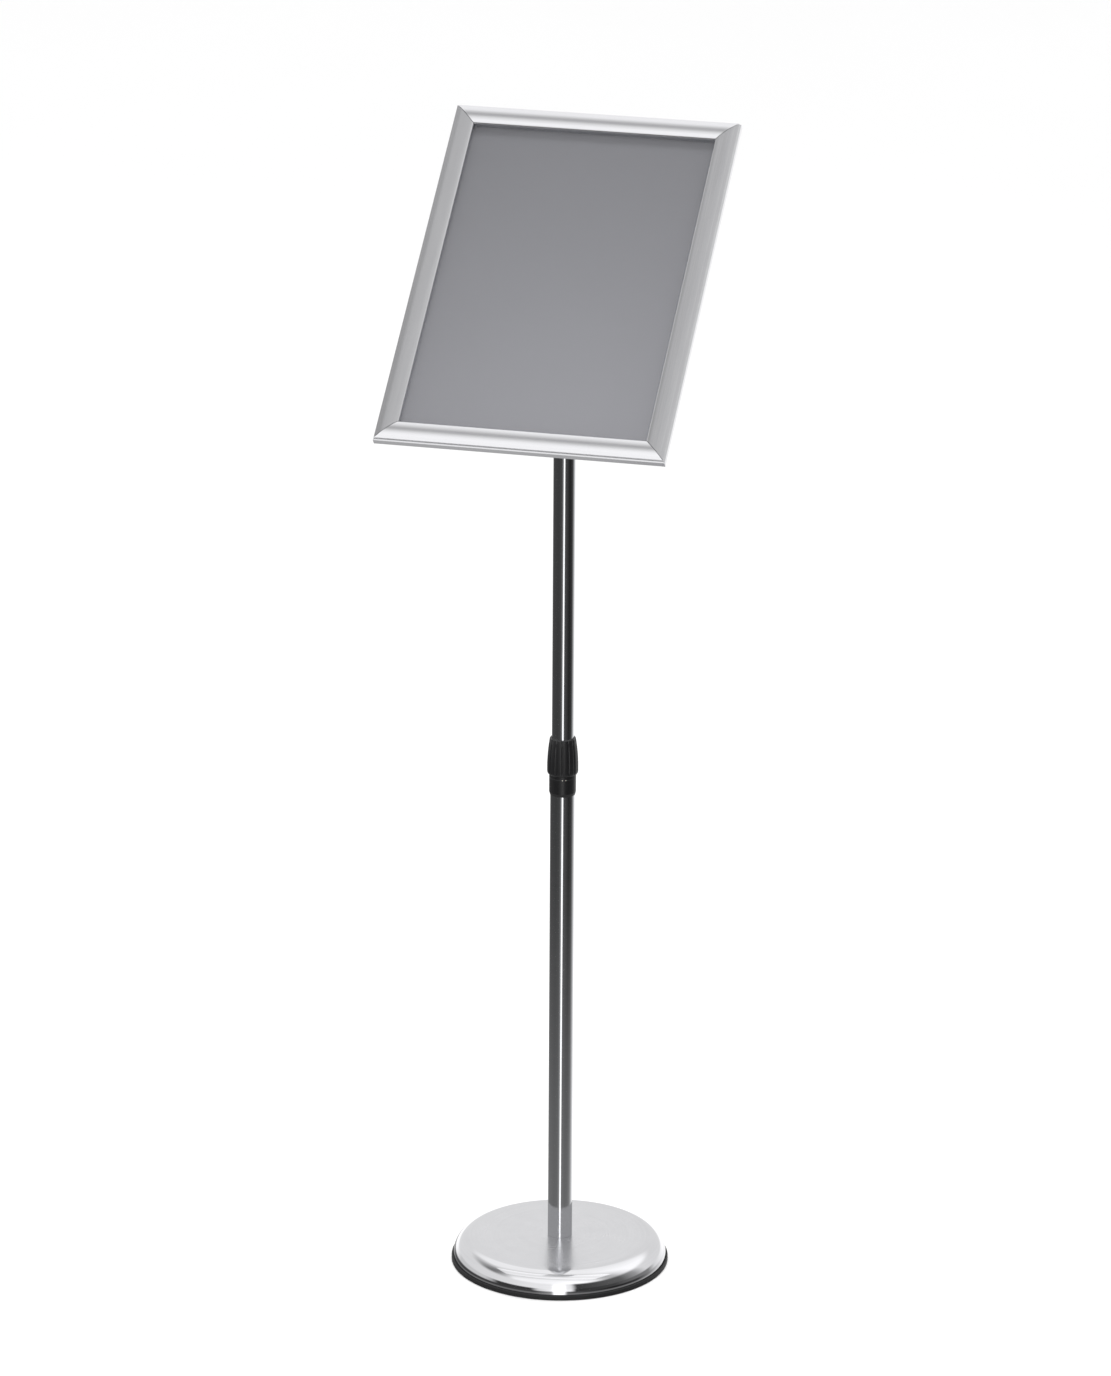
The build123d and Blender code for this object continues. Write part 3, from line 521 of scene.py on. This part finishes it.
def coverLine(wall):
    points = []
    for step in range(cover["domeSteps"] + 1):
        share = step / cover["domeSteps"]
        fall = cover["drop"] * (share * (4 * cover["dome"] - 1) + share * share * (2 - 4 * cover["dome"]))
        points.append((cover["flat"] + (start - cover["flat"]) * share, top - fall - wall))
    radius, centre = cover["shoulder"] - wall, top - cover["drop"] - cover["shoulder"]
    for step in range(1, cover["shoulderSteps"] + 1):
        turn = math.pi / 2 * (1 - step / cover["shoulderSteps"])
        points.append((start + radius * math.cos(turn), centre + radius * math.sin(turn)))
    return points


outside = [(cover["hole"], top)] + coverLine(0) + [(outer, foot)]
inside = [(cover["hole"], top - cover["wall"])] + coverLine(cover["wall"]) + [(outer - cover["wall"], foot)]
mesh = lathe("baseCover", outside + inside[::-1], cover["around"])
place(newPiece("baseCover", mesh, "spunStainlessCover", 50), "stand", "polished_stainless", "base_cover")

# Pole tubes, with their cut ends lightly broken
tubes = {"lower_tube": ("lowerTube", "stand", 1.2), "upper_tube": ("upperTube", "upper_pole", 1.0)}
tubeEnds = {"outside": 0.3, "inside": 0.15, "around": 160}
for node, (name, body, wall) in tubes.items():
    low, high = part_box(node)
    radius, bottom, top = high.x / mm, low.z / mm, high.z / mm
    corners = [(radius - wall, bottom, tubeEnds["inside"]), (radius, bottom, tubeEnds["outside"]),
               (radius, top, tubeEnds["outside"]), (radius - wall, top, tubeEnds["inside"])]
    mesh = lathe(name, rounded(corners, 3), tubeEnds["around"])
    place(newPiece(name, mesh, "polishedStainlessTube"), body, "polished_stainless", node)
print("base and tubes done")

# Twist lock: body fixed on the lower tube, with a parting line; two small pale dots on it are painted highlights
lock = {"bevel": 3.5, "foot": 0.3, "spigot": 14.6, "bore": 12.65, "lineHeight": 3.2, "lineDepth": 0.25,
        "lineHalf": 0.3, "split": 0.3, "play": 0.05, "around": 128,
        "highlightDots": ((13.0, 0.6), (28.5, 0.42)), "highlightDotDrop": 3.3}
low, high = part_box("lock_body")
radius, bottom, top = high.x / mm, low.z / mm, high.z / mm
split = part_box("lock_nut")[0].z / mm - lock["split"]
tubeRadius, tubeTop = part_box("lower_tube")[1].x / mm + lock["play"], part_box("lower_tube")[1].z / mm
line = split - lock["lineHeight"]
corners = [(tubeRadius, bottom, 0.1), (tubeRadius + lock["foot"], bottom, 0.2),
           (radius, bottom + lock["bevel"], 0.8), (radius, line - lock["lineHalf"], 0.1),
           (radius - lock["lineDepth"], line, 0.1), (radius, line + lock["lineHalf"], 0.1), (radius, split, 0.3),
           (lock["spigot"], split, 0), (lock["spigot"], top, 0.2),
           (lock["bore"], top, 0.2), (lock["bore"], tubeTop, 0), (tubeRadius, tubeTop, 0)]
place(newPiece("lockBody", lathe("lockBody", rounded(corners, 5), lock["around"]), "mouldedBlackAbs"),
      "stand", "black_plastic", "lock_body")

# Twist lock: the nut, barrel shaped and fluted
nut = {"bevel": 4.0, "bevelDepth": 1.8, "belly": 10.0, "bow": 0.72, "rim": 0.7, "count": 14, "depth": 0.6,
       "share": 0.42, "lip": 4.0, "wall": 2.1, "bore": 12.8, "topWall": 2.3, "socket": 16.3, "play": 0.3,
       "skin": 1.2, "bevelSteps": 4, "bowSteps": 16, "perFlute": 16}
low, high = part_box("lock_nut")
radius, bottom, top = high.x / mm, low.z / mm, high.z / mm
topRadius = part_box("upper_tube")[1].x / mm + nut["topWall"]
bowHeight, bowRadius = (bottom + nut["belly"] + top) / 2, topRadius + (radius - topRadius) * nut["bow"]
profile = [(lock["spigot"] + nut["play"], bottom), (radius - nut["bevelDepth"], bottom)]
for step in range(nut["bevelSteps"] + 1):
    turn = math.pi / 2 * step / nut["bevelSteps"]
    profile.append((radius - nut["bevelDepth"] * (1 - math.sin(turn)),
                    bottom + nut["play"] + nut["bevel"] * (1 - math.cos(turn))))
profile.append((radius, bottom + nut["belly"] * 0.7))
for step in range(nut["bowSteps"] + 1):
    share = step / nut["bowSteps"]
    # Through the belly, the bow and the top rim
    bend = radius + (topRadius - radius) * share + 4 * (bowRadius - (radius + topRadius) / 2) * share * (1 - share)
    profile.append((bend, bottom + nut["belly"] + (top - nut["rim"] - bottom - nut["belly"]) * share))
profile += [(topRadius - nut["rim"] * 0.3, top - nut["rim"] * 0.3), (topRadius - nut["rim"], top)]
profile += [(nut["bore"], top), (nut["bore"], top - nut["lip"]), (topRadius - nut["wall"] / 2, top - nut["lip"]),
            (radius - nut["wall"], bottom + nut["socket"]), (lock["spigot"] + nut["play"], bottom + nut["socket"])]


def onNutSkin(r, z):
    inside = r < radius - nut["wall"] + 0.01 and z < top - nut["lip"] + 0.01
    return r > topRadius - nut["skin"] and z > bottom + 0.1 and not inside


mesh = lathe("lockNut", profile, nut["count"] * nut["perFlute"], onNutSkin)
piece = newPiece("lockNut", mesh, "mouldedBlackAbs")
runTree(piece, flutes, {
    "Count": float(nut["count"]), "Depth": nut["depth"] * mm, "Share": nut["share"], "Low": (bottom + 1) * mm,
    "High": (top + 5) * mm, "Fade": 4 * mm, "Material": finishes["mouldedBlackAbs"]})
place(smoothed(piece), "lock_nut", "black_plastic", "lock_nut")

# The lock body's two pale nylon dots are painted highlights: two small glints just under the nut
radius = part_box("lock_body")[1].x
highlightDotParts = []
for turn, size in lock["highlightDots"]:
    angle = math.radians(turn - 90)
    spot = (radius * math.cos(angle), radius * math.sin(angle), (split - lock["highlightDotDrop"]) * mm)
    shape = lathe("highlightDot", [(0.0, -0.3), (size, -0.3), (size * 0.9, 0.12), (size * 0.6, 0.24), (0.0, 0.28)], 16)
    shape.transform(Matrix.Rotation(angle, 4, "Z") @ Matrix.Rotation(math.pi / 2, 4, "Y"))
    highlightDotParts.append((shape, spot))
for (shape, spot), name in zip(highlightDotParts, ("lockMarkLeft", "lockMarkRight")):
    place(copied(name, shape, [spot], copies, "naturalNylon"), "stand", "nylon")

# Tilt knob, six lobes on the tilt bolt
knob = {"round": 3.0, "count": 6, "depth": 2.2, "share": 0.62, "bore": 6.71, "cap": 5.0, "skin": 4.0,
        "longEdge": 4, "coreRadius": 3, "edgeParts": 6, "perLobe": 32}
low, high = signBox("tilt_knob")
radius, start, end = high.z / mm, low.x / mm, high.x / mm
corners = [(knob["bore"], start, 0.2), (radius, start, 0.8), (radius, end, knob["round"]), (0.001, end, 0),
           (0.001, end - knob["cap"], 0), (knob["bore"], end - knob["cap"], 0)]
profile = []
shape = rounded(corners, 8)
for i, point in enumerate(shape):
    after = shape[(i + 1) % len(shape)]
    profile.append(point)
    if (Vector(after) - Vector(point)).length > knob["longEdge"] and point[0] > knob["coreRadius"]:
        for step in range(1, knob["edgeParts"]):
            profile.append(tuple(Vector(point).lerp(Vector(after), step / knob["edgeParts"])))
mesh = lathe("tiltKnob", profile, knob["count"] * knob["perLobe"], lambda r, z: r > knob["bore"] + knob["skin"])
piece = newPiece("tiltKnob", mesh, "mouldedBlackAbs")
runTree(piece, flutes, {
    "Count": float(knob["count"]), "Depth": knob["depth"] * mm, "Share": knob["share"], "Low": (start - 9) * mm,
    "High": (end + 9) * mm, "Fade": 4 * mm, "Material": finishes["mouldedBlackAbs"]})
piece.data.transform(signPlace @ Matrix.Rotation(math.pi / 2, 4, "Y"))
place(smoothed(piece), "tilt_knob", "black_plastic", "tilt_knob")
print("twist lock and knob done")

# Sign frame. Sections are in mm: inset from the outer edge, height above the frame's back
rail = {"width": 25.0, "skin": 1.2, "gap": 0.35, "bead": (2.2, 8.2), "hookInner": 1.2, "hookOuter": 2.3,
        "hookStart": -75, "hookEnd": 110, "lipFoot": 4.3, "lipRound": 0.3, "lipInner": 0.2,
        "catch": (9.6, 10.8, 7.6), "relief": 5.2, "reliefReach": 2.4, "underFrom": 2.6,
        "crown": ((4.25, 11.3), (8.5, 12.5), (14.0, 13.0), (18.5, 12.55), (22.0, 11.65), (24.1, 10.6),
                  (25.0, 8.8)),
        "crownStart": (0.94, 0.34), "crownEnd": (0.0, -1.0), "samples": 7}
halfWidth = signBox("back_rail_right")[1].x / mm
halfHeight = signBox("back_rail_top")[1].y / mm
frameBack = signBox("back_rail_bottom")[0].z / mm
railSides = {"bottom": (0, halfWidth, halfHeight), "right": (90, halfHeight, halfWidth),
             "top": (180, halfWidth, halfHeight), "left": (270, halfHeight, halfWidth)}


def aroundBead(radius, angle):
    turn = math.radians(angle)
    return Vector((rail["bead"][0] + radius * math.cos(turn), rail["bead"][1] + radius * math.sin(turn)))


def smoothLine(points, first, last, samples):
    knots = [Vector(p) for p in points]
    slopes = []
    for i, here in enumerate(knots):
        if i == 0:
            slopes.append(Vector(first).normalized())
        elif i == len(knots) - 1:
            slopes.append(Vector(last).normalized())
        else:
            back, ahead = here - knots[i - 1], knots[i + 1] - here
            before, after = back.normalized() * ahead.length, ahead.normalized() * back.length
            slopes.append((before + after).normalized())
    line = []
    for i in range(len(knots) - 1):
        reach = (knots[i + 1] - knots[i]).length
        for step in range(samples + (i == len(knots) - 2)):
            t = step / samples
            line.append(knots[i] * (2 * t**3 - 3 * t**2 + 1) + slopes[i] * reach * (t**3 - 2 * t**2 + t)
                        + knots[i + 1] * (3 * t**2 - 2 * t**3) + slopes[i + 1] * reach * (t**3 - t**2))
    return line


def snapOutline():
    arcs = 10
    angles = [rail["hookStart"] + (rail["hookEnd"] - rail["hookStart"]) * i / arcs for i in range(arcs + 1)]
    hookOut = [aroundBead(rail["hookOuter"], a) for a in angles]
    crown = smoothLine([hookOut[-1]] + list(rail["crown"]), rail["crownStart"], rail["crownEnd"], rail["samples"])
    under = []
    for i in range(1, len(crown) - 1):
        along = (crown[i + 1] - crown[i - 1]).normalized()
        under.append(crown[i] + Vector((along.y, -along.x)) * rail["skin"])
    wide, foot, inner = rail["width"], rail["lipFoot"], rail["width"] - rail["skin"]
    under = [p for p in under if rail["underFrom"] < p.x < inner][::-1]
    lip = [(wide, foot + rail["lipRound"]), (wide - rail["lipRound"], foot), (inner + rail["lipInner"], foot),
           (inner, foot + rail["lipInner"]), (inner, rail["crown"][-1][1])]
    near, far, depth = rail["catch"]
    inside = [p for p in under if p.x > far + 0.1]
    level = inside[-1].y
    inside += [Vector(p) for p in ((far, level + 0.1), (far, depth), (near, depth), (near, level + 0.15))]
    inside += [p for p in under if p.x < near - 0.1]
    hookIn = [aroundBead(rail["hookInner"], a) for a in angles[::-1]]
    return hookOut[:-1] + crown + [Vector(p) for p in lip] + inside + hookIn


def railMesh(name, outline, side, gap, relief=None):
    angle, half, reach = railSides[side]
    work = bmesh.new()
    ends = {}
    for sign in (-1, 1):
        ends[sign] = []
        for p in outline:
            cut = max(gap + max(p.x, 0), relief(p) if relief else 0)
            ends[sign].append(work.verts.new((sign * (half - cut) * mm, max(p.x, 0) * mm, p.y * mm)))
    count = len(outline)
    for i in range(count):
        j = (i + 1) % count
        work.faces.new((ends[-1][i], ends[1][i], ends[1][j], ends[-1][j]))
    work.faces.new(ends[-1])
    work.faces.new(ends[1])
    bmesh.ops.recalc_face_normals(work, faces=work.faces)
    mesh = bpy.data.meshes.new(name)
    work.to_mesh(mesh)
    work.free()
    local = Matrix.Rotation(math.radians(angle), 4, "Z") @ Matrix.Translation((0, -reach * mm, frameBack * mm))
    mesh.transform(signPlace @ local)
    return mesh


def hookRelief(p):
    across, up = p.x - rail["bead"][0], p.y - rail["bead"][1]
    lowerHook = 0 < across < rail["reliefReach"] and -rail["reliefReach"] < up < 0.05
    return rail["relief"] if lowerHook else 0


outline = snapOutline()
for side in railSides:
    finish = "anodisedRailAcross" if side in ("bottom", "top") else "anodisedRailUpright"
    title = side.capitalize()
    mesh = railMesh("snapRail" + title, outline, side, rail["gap"], hookRelief)
    piece = newPiece("snapRail" + title, mesh, finish, 32)
    place(piece, "snap_rail_" + side, "anodised_silver", "snap_rail_" + side)
    piece = softened("backRail" + title, "back_rail_" + side, finish, 0.15)
    place(piece, "frame", "anodised_silver", "back_rail_" + side)
print("frame rails done")

# Screws of the cross bar: pan heads with a cross recess, on the sign's back
screw = {"radius": 4.0, "height": 2.2, "shank": 2.0, "slotLength": 4.4, "slotWidth": 1.1, "slotDepth": 1.3,
         "around": 48}
low, high = signBox("bar_screws")
headEnd, tip = low.z / mm, high.z / mm
places = [(x, y, 0) for x in (low.x + screw["radius"] * mm, high.x - screw["radius"] * mm)
          for y in (low.y + screw["radius"] * mm, high.y - screw["radius"] * mm)]
profile = [(0.001, headEnd), (1.6, headEnd + 0.06), (2.8, headEnd + 0.35), (3.6, headEnd + 0.95),
           (3.95, headEnd + 1.6), (screw["radius"], headEnd + screw["height"]),
           (screw["shank"], headEnd + screw["height"]),
           (screw["shank"], tip - 0.8), (screw["shank"] - 0.7, tip), (0.001, tip)]
piece = copied("barScrews", lathe("barScrew", profile, screw["around"]), places, crossScrews, "zincPlatedSteel", {
    "Slot length": screw["slotLength"] * mm, "Slot width": screw["slotWidth"] * mm,
    "Slot depth": screw["slotDepth"] * mm, "Head end": headEnd * mm})
piece.data.transform(signPlace)
place(piece, "frame", "zinc_steel", "bar_screws")

# Rivets that hold the turning plate to the bracket
rivet = {"radius": 3.6, "height": 1.5, "shank": 2.0, "around": 48}
low, high = signBox("plate_rivets")
back, front = low.z / mm, high.z / mm
reach = high.y - rivet["radius"] * mm
profile = [(0.001, back), (1.4, back + 0.08), (2.5, back + 0.4), (3.3, back + 0.95),
           (rivet["radius"], back + rivet["height"]), (rivet["shank"], back + rivet["height"]),
           (rivet["shank"], front), (0.001, front)]
places = [(0, -reach, 0), (0, reach, 0)]
piece = copied("plateRivets", lathe("plateRivet", profile, rivet["around"]), places, copies, "zincPlatedSteel")
piece.data.transform(signPlace)
place(piece, "tilt_head", "zinc_steel", "plate_rivets")

# Other pieces of the head keep their CAD shape, with their edges broken
headPieces = {
    "pole_head": ("poleHead", "upper_pole", "black_plastic", "mouldedBlackAbs", 0.7),
    "tilt_bracket": ("tiltBracket", "tilt_head", "black_powder", "blackPowderCoat", 0.7),
    "turn_plate": ("turnPlate", "tilt_head", "black_powder", "blackPowderCoat", 0.4),
    "tilt_bolt": ("tiltBolt", "tilt_head", "zinc_steel", "zincPlatedSteel", 0.3),
    "knob_washer": ("knobWasher", "tilt_head", "zinc_steel", "zincPlatedSteel", 0.25),
    "cross_bar": ("crossBar", "frame", "anodised_silver", "anodisedRailAcross", 0.4),
    "turn_washer": ("turnWasher", "frame", "zinc_steel", "zincPlatedSteel", 0.25),
    "turn_nut": ("turnNut", "frame", "zinc_steel", "zincPlatedSteel", 0.4),
}
for node, (name, body, slotName, material, width) in headPieces.items():
    place(softened(name, node, material, width), body, slotName, node)

# Nodes shown as they are
shown = {
    "castIron": ("base_weight",),
    "closedCellFoam": ("base_pad",),
    "zincPlatedSteel": ("base_bolt", "base_washer", "base_spring_washer", "tube_foot_insert", "stop_pin",
                        "turn_bolt"),
    "naturalNylon": ("collet", "guide_bush", "tilt_washers", "friction_disc"),
    "turnedBrass": ("knob_insert",),
    "pressedSteel": ("corner_keys",),
    "bluedSpringSteel": ("rail_springs",),
    "blackPolystyrene": ("back_panel",),
    "greyPrintedSheet": ("sign_sheet",),
    "antiGlareFilm": ("clear_cover",),
}
for material, names in shown.items():
    for node in names:
        mesh = frame["nodes"][node].data
        mesh.materials.clear()
        mesh.materials.append(finishes[material])
print("head and inner pieces done")

# Camera
view = {"place": (1.791, -6.818, 3.032), "azimuth": 14.789, "pitch": 18.343, "roll": 0.337, "lens": 172.67,
        "sensor": 36.0, "farClip": 200.0}
cameraData = bpy.data.cameras.new("camera")
cameraData.lens = view["lens"]
cameraData.sensor_width = view["sensor"]
cameraData.clip_end = view["farClip"]
camera = bpy.data.objects.new("camera", cameraData)
scene.collection.objects.link(camera)
camera.matrix_world = (Matrix.Translation(view["place"])
                       @ Matrix.Rotation(math.radians(view["azimuth"]), 4, "Z")
                       @ Matrix.Rotation(math.radians(90 - view["pitch"]), 4, "X")
                       @ Matrix.Rotation(math.radians(view["roll"]), 4, "Z"))
scene.camera = camera
scene.view_settings.view_transform = "Standard"

# Floor: plain matt white, wide enough to reach the background
floorMaterial = makeMaterial({
    "name": "paleFloor", "light": "#fafafa", "dark": "#f6f6f6", "roughness": 0.9, "layers": [
        {"kind": "noise", "pitch": (900, 900, 900), "detail": 2, "color": 0.6}]})
floorMesh = bpy.data.meshes.new("floor")
wide = 60
floorMesh.from_pydata([(-wide, -wide, 0), (wide, -wide, 0), (wide, wide, 0), (-wide, wide, 0)], [], [(0, 1, 2, 3)])
floorMesh.materials.append(floorMaterial)
floor = bpy.data.objects.new("floor", floorMesh)
scene.collection.objects.link(floor)
floor.visible_glossy = False

# Studio: plain white to the camera, even light for what is matt, and banded walls for what is polished
studio = {
    "ambient": 1.06, "facing": -75.2,
    # Four bands of wall, from the lowest up: degrees round from the front, brightness
    "footWall": ((-180, 1.2), (-160, 0.50), (-145, 0.28), (-125, 0.24), (-60, 0.21), (-26, 0.22), (-8, 0.42),
                 (-6, 1.7), (5, 1.7), (8, 0.26), (40, 0.22), (70, 0.24), (92, 0.32), (112, 0.55), (128, 0.85),
                 (145, 1.1), (180, 1.2)),
    "lowWall": ((-180, 1.2), (-165, 0.40), (-150, 0.12), (-125, 0.07), (-60, 0.055), (-26, 0.07), (-8, 0.32),
                (-6, 1.7), (5, 1.7), (8, 0.10), (40, 0.045), (60, 0.02), (92, 0.05), (112, 0.32), (128, 0.75),
                (145, 1.1), (180, 1.2)),
    "middleWall": ((-180, 1.4), (-150, 1.3), (-130, 0.75), (-85, 0.75), (-76, 0.5), (-68, 0.05), (-30, 0.05),
                   (-22, 0.9), (-9, 1.25), (-6, 1.7), (5, 1.7), (8, 1.25), (12, 1.25), (17, 0.04), (60, 0.07),
                   (90, 0.2), (108, 0.3), (120, 0.9), (150, 1.3), (180, 1.4)),
    "highWall": ((-180, 0.92), (-150, 0.92), (-130, 0.92), (-60, 0.97), (-14, 1.15), (-9, 1.15), (-6, 1.7),
                 (5, 1.7), (8, 1.15), (12, 1.15), (18, 0.06), (70, 0.14), (90, 0.42), (105, 0.95), (150, 0.9),
                 (180, 0.9)),
    # Heights of the view between which each band gives way to the one over it, the ceiling last
    "seams": ((-0.75, -0.5), (-0.41, -0.33), (-0.24, -0.14), (0.02, 0.12), (0.50, 0.66)),
    # Front to back across the ceiling, then out to its sides: share of the way, brightness
    "ceiling": ((0.225, 1.2), (0.275, 1.05), (0.33, 0.85), (0.38, 0.58), (0.435, 0.45), (0.49, 0.50), (0.54, 0.70),
                (0.60, 0.92), (0.675, 1.1)),
    "sides": ((0.08, 0.4), (0.17, 0.6), (0.24, 1.05), (0.38, 1.05), (0.55, 1.1), (0.68, 1.25), (1.0, 1.3)),
    "floor": 0.5, "stripFrom": 1.45, "secondStrip": 9.0, "secondGrey": 0.5, "secondDepth": 1.5,
}


def makeStudio():
    world = bpy.data.worlds.new("softStudio")
    scene.world = world
    world.use_nodes = True
    world.cycles.sampling_method = "NONE"
    tree = world.node_tree
    tree.nodes.clear()
    way = addNode(tree, "ShaderNodeTexCoord").outputs["Generated"]
    facing = math.radians(studio["facing"])
    toFront = (math.cos(facing), math.sin(facing), 0)
    toRight = (-math.sin(facing), math.cos(facing), 0)
    front = addNode(tree, "ShaderNodeVectorMath", {"operation": "DOT_PRODUCT", 1: toFront}, {0: way})
    right = addNode(tree, "ShaderNodeVectorMath", {"operation": "DOT_PRODUCT", 1: toRight}, {0: way})
    angle = addNode(tree, "ShaderNodeMath", {"operation": "ARCTAN2"}, {
        0: right.outputs["Value"], 1: front.outputs["Value"]})
    share = addNode(tree, "ShaderNodeMath", {"operation": "MULTIPLY_ADD", 1: 0.5 / math.pi, 2: 0.5},
                    {0: angle.outputs[0]})
    split = addNode(tree, "ShaderNodeSeparateXYZ", None, {0: way})
    spans = [addNode(tree, "ShaderNodeMath", {"operation": "MULTIPLY_ADD", 1: 0.5, 2: 0.5}, {0: split.outputs[i]})
             for i in (0, 1)]

    def ramp(stops, source):
        node = addNode(tree, "ShaderNodeValToRGB", None, {0: source})
        band = node.color_ramp
        while len(band.elements) < len(stops):
            band.elements.new(0.5)
        for element, (spot, value) in zip(band.elements, stops):
            element.position = spot
            element.color = (value, value, value, 1)
        return node.outputs[0]

    bands = []
    for key in ("footWall", "lowWall", "middleWall", "highWall"):
        bands.append(ramp([(degrees / 360 + 0.5, value) for degrees, value in studio[key]], share.outputs[0]))
    across = ramp(studio["ceiling"], spans[1].outputs[0])
    sideways = ramp(studio["sides"], spans[0].outputs[0])
    bands.append(addNode(tree, "ShaderNodeMix", {"data_type": "RGBA", "blend_type": "MULTIPLY", 0: 1.0},
                         {6: across, 7: sideways}).outputs[2])
    room = None
    for (low, high), band in zip(studio["seams"], bands):
        seam = addNode(tree, "ShaderNodeMapRange", {
            "interpolation_type": "SMOOTHSTEP", "From Min": low, "From Max": high}, {"Value": split.outputs[2]})
        mix = addNode(tree, "ShaderNodeMix", {"data_type": "RGBA", 6: [studio["floor"]] * 3 + [1]},
                      {0: seam.outputs[0], 7: band})
        if room:
            tree.links.new(room, mix.inputs[6])
        room = mix.outputs[2]
    path = addNode(tree, "ShaderNodeLightPath")
    # What one polished piece shows in another is an even grey, with the narrow light strip in it
    strip = addNode(tree, "ShaderNodeMath", {"operation": "SUBTRACT", "use_clamp": True, 1: studio["stripFrom"]},
                    {0: room})
    second = addNode(tree, "ShaderNodeMath", {
        "operation": "MULTIPLY_ADD", 1: studio["secondStrip"], 2: studio["secondGrey"]}, {0: strip.outputs[0]})
    twice = addNode(tree, "ShaderNodeMath", {"operation": "GREATER_THAN", 1: studio["secondDepth"]},
                    {0: path.outputs["Glossy Depth"]})
    room = addNode(tree, "ShaderNodeMix", {"data_type": "RGBA"}, {
        0: twice.outputs[0], 6: room, 7: second.outputs[0]}).outputs[2]
    ambient = [studio["ambient"]] * 3 + [1]
    matt = addNode(tree, "ShaderNodeMix", {"data_type": "RGBA", 6: ambient}, {
        0: path.outputs["Is Glossy Ray"], 7: room})
    seen = addNode(tree, "ShaderNodeMix", {"data_type": "RGBA", 7: (1, 1, 1, 1)}, {
        0: path.outputs["Is Camera Ray"], 6: matt.outputs[2]})
    back = addNode(tree, "ShaderNodeBackground", {"Strength": 1.0}, {"Color": seen.outputs[2]})
    addNode(tree, "ShaderNodeOutputWorld", None, {"Surface": back.outputs[0]})


makeStudio()

# Soft boxes: place, aim, width and height, watts, degrees of spread. The base panel is a pale card just over
# the base that only its polish sees; the others light what is matt.
softBoxes = {
    "frontPanel": ((0.05, -0.5, 1.35), (0, -0.12, 1.0), (0.3, 0.3), 2.7, 180),
    "topPanel": ((0.0, 0.75, 3.2), (0, 0, 1.1), (0.5, 0.5), 28.0, 180),
    "basePanel": ((0, -0.2, 0.88), (0, -0.2, 0), (1.4, 0.42), 1.1, 180),
}
for name, (spot, aim, size, watts, spread) in softBoxes.items():
    lampData = bpy.data.lights.new(name, "AREA")
    lampData.shape = "RECTANGLE"
    lampData.size, lampData.size_y = size
    lampData.energy = watts
    lampData.spread = math.radians(spread)
    lamp = bpy.data.objects.new(name, lampData)
    scene.collection.objects.link(lamp)
    lamp.location = spot
    lamp.rotation_euler = (Vector(aim) - Vector(spot)).to_track_quat("-Z", "Y").to_euler()
    lamp.visible_glossy = name == "basePanel"
    lamp.visible_diffuse = name != "basePanel"
    lamp.visible_camera = False
print("studio done")
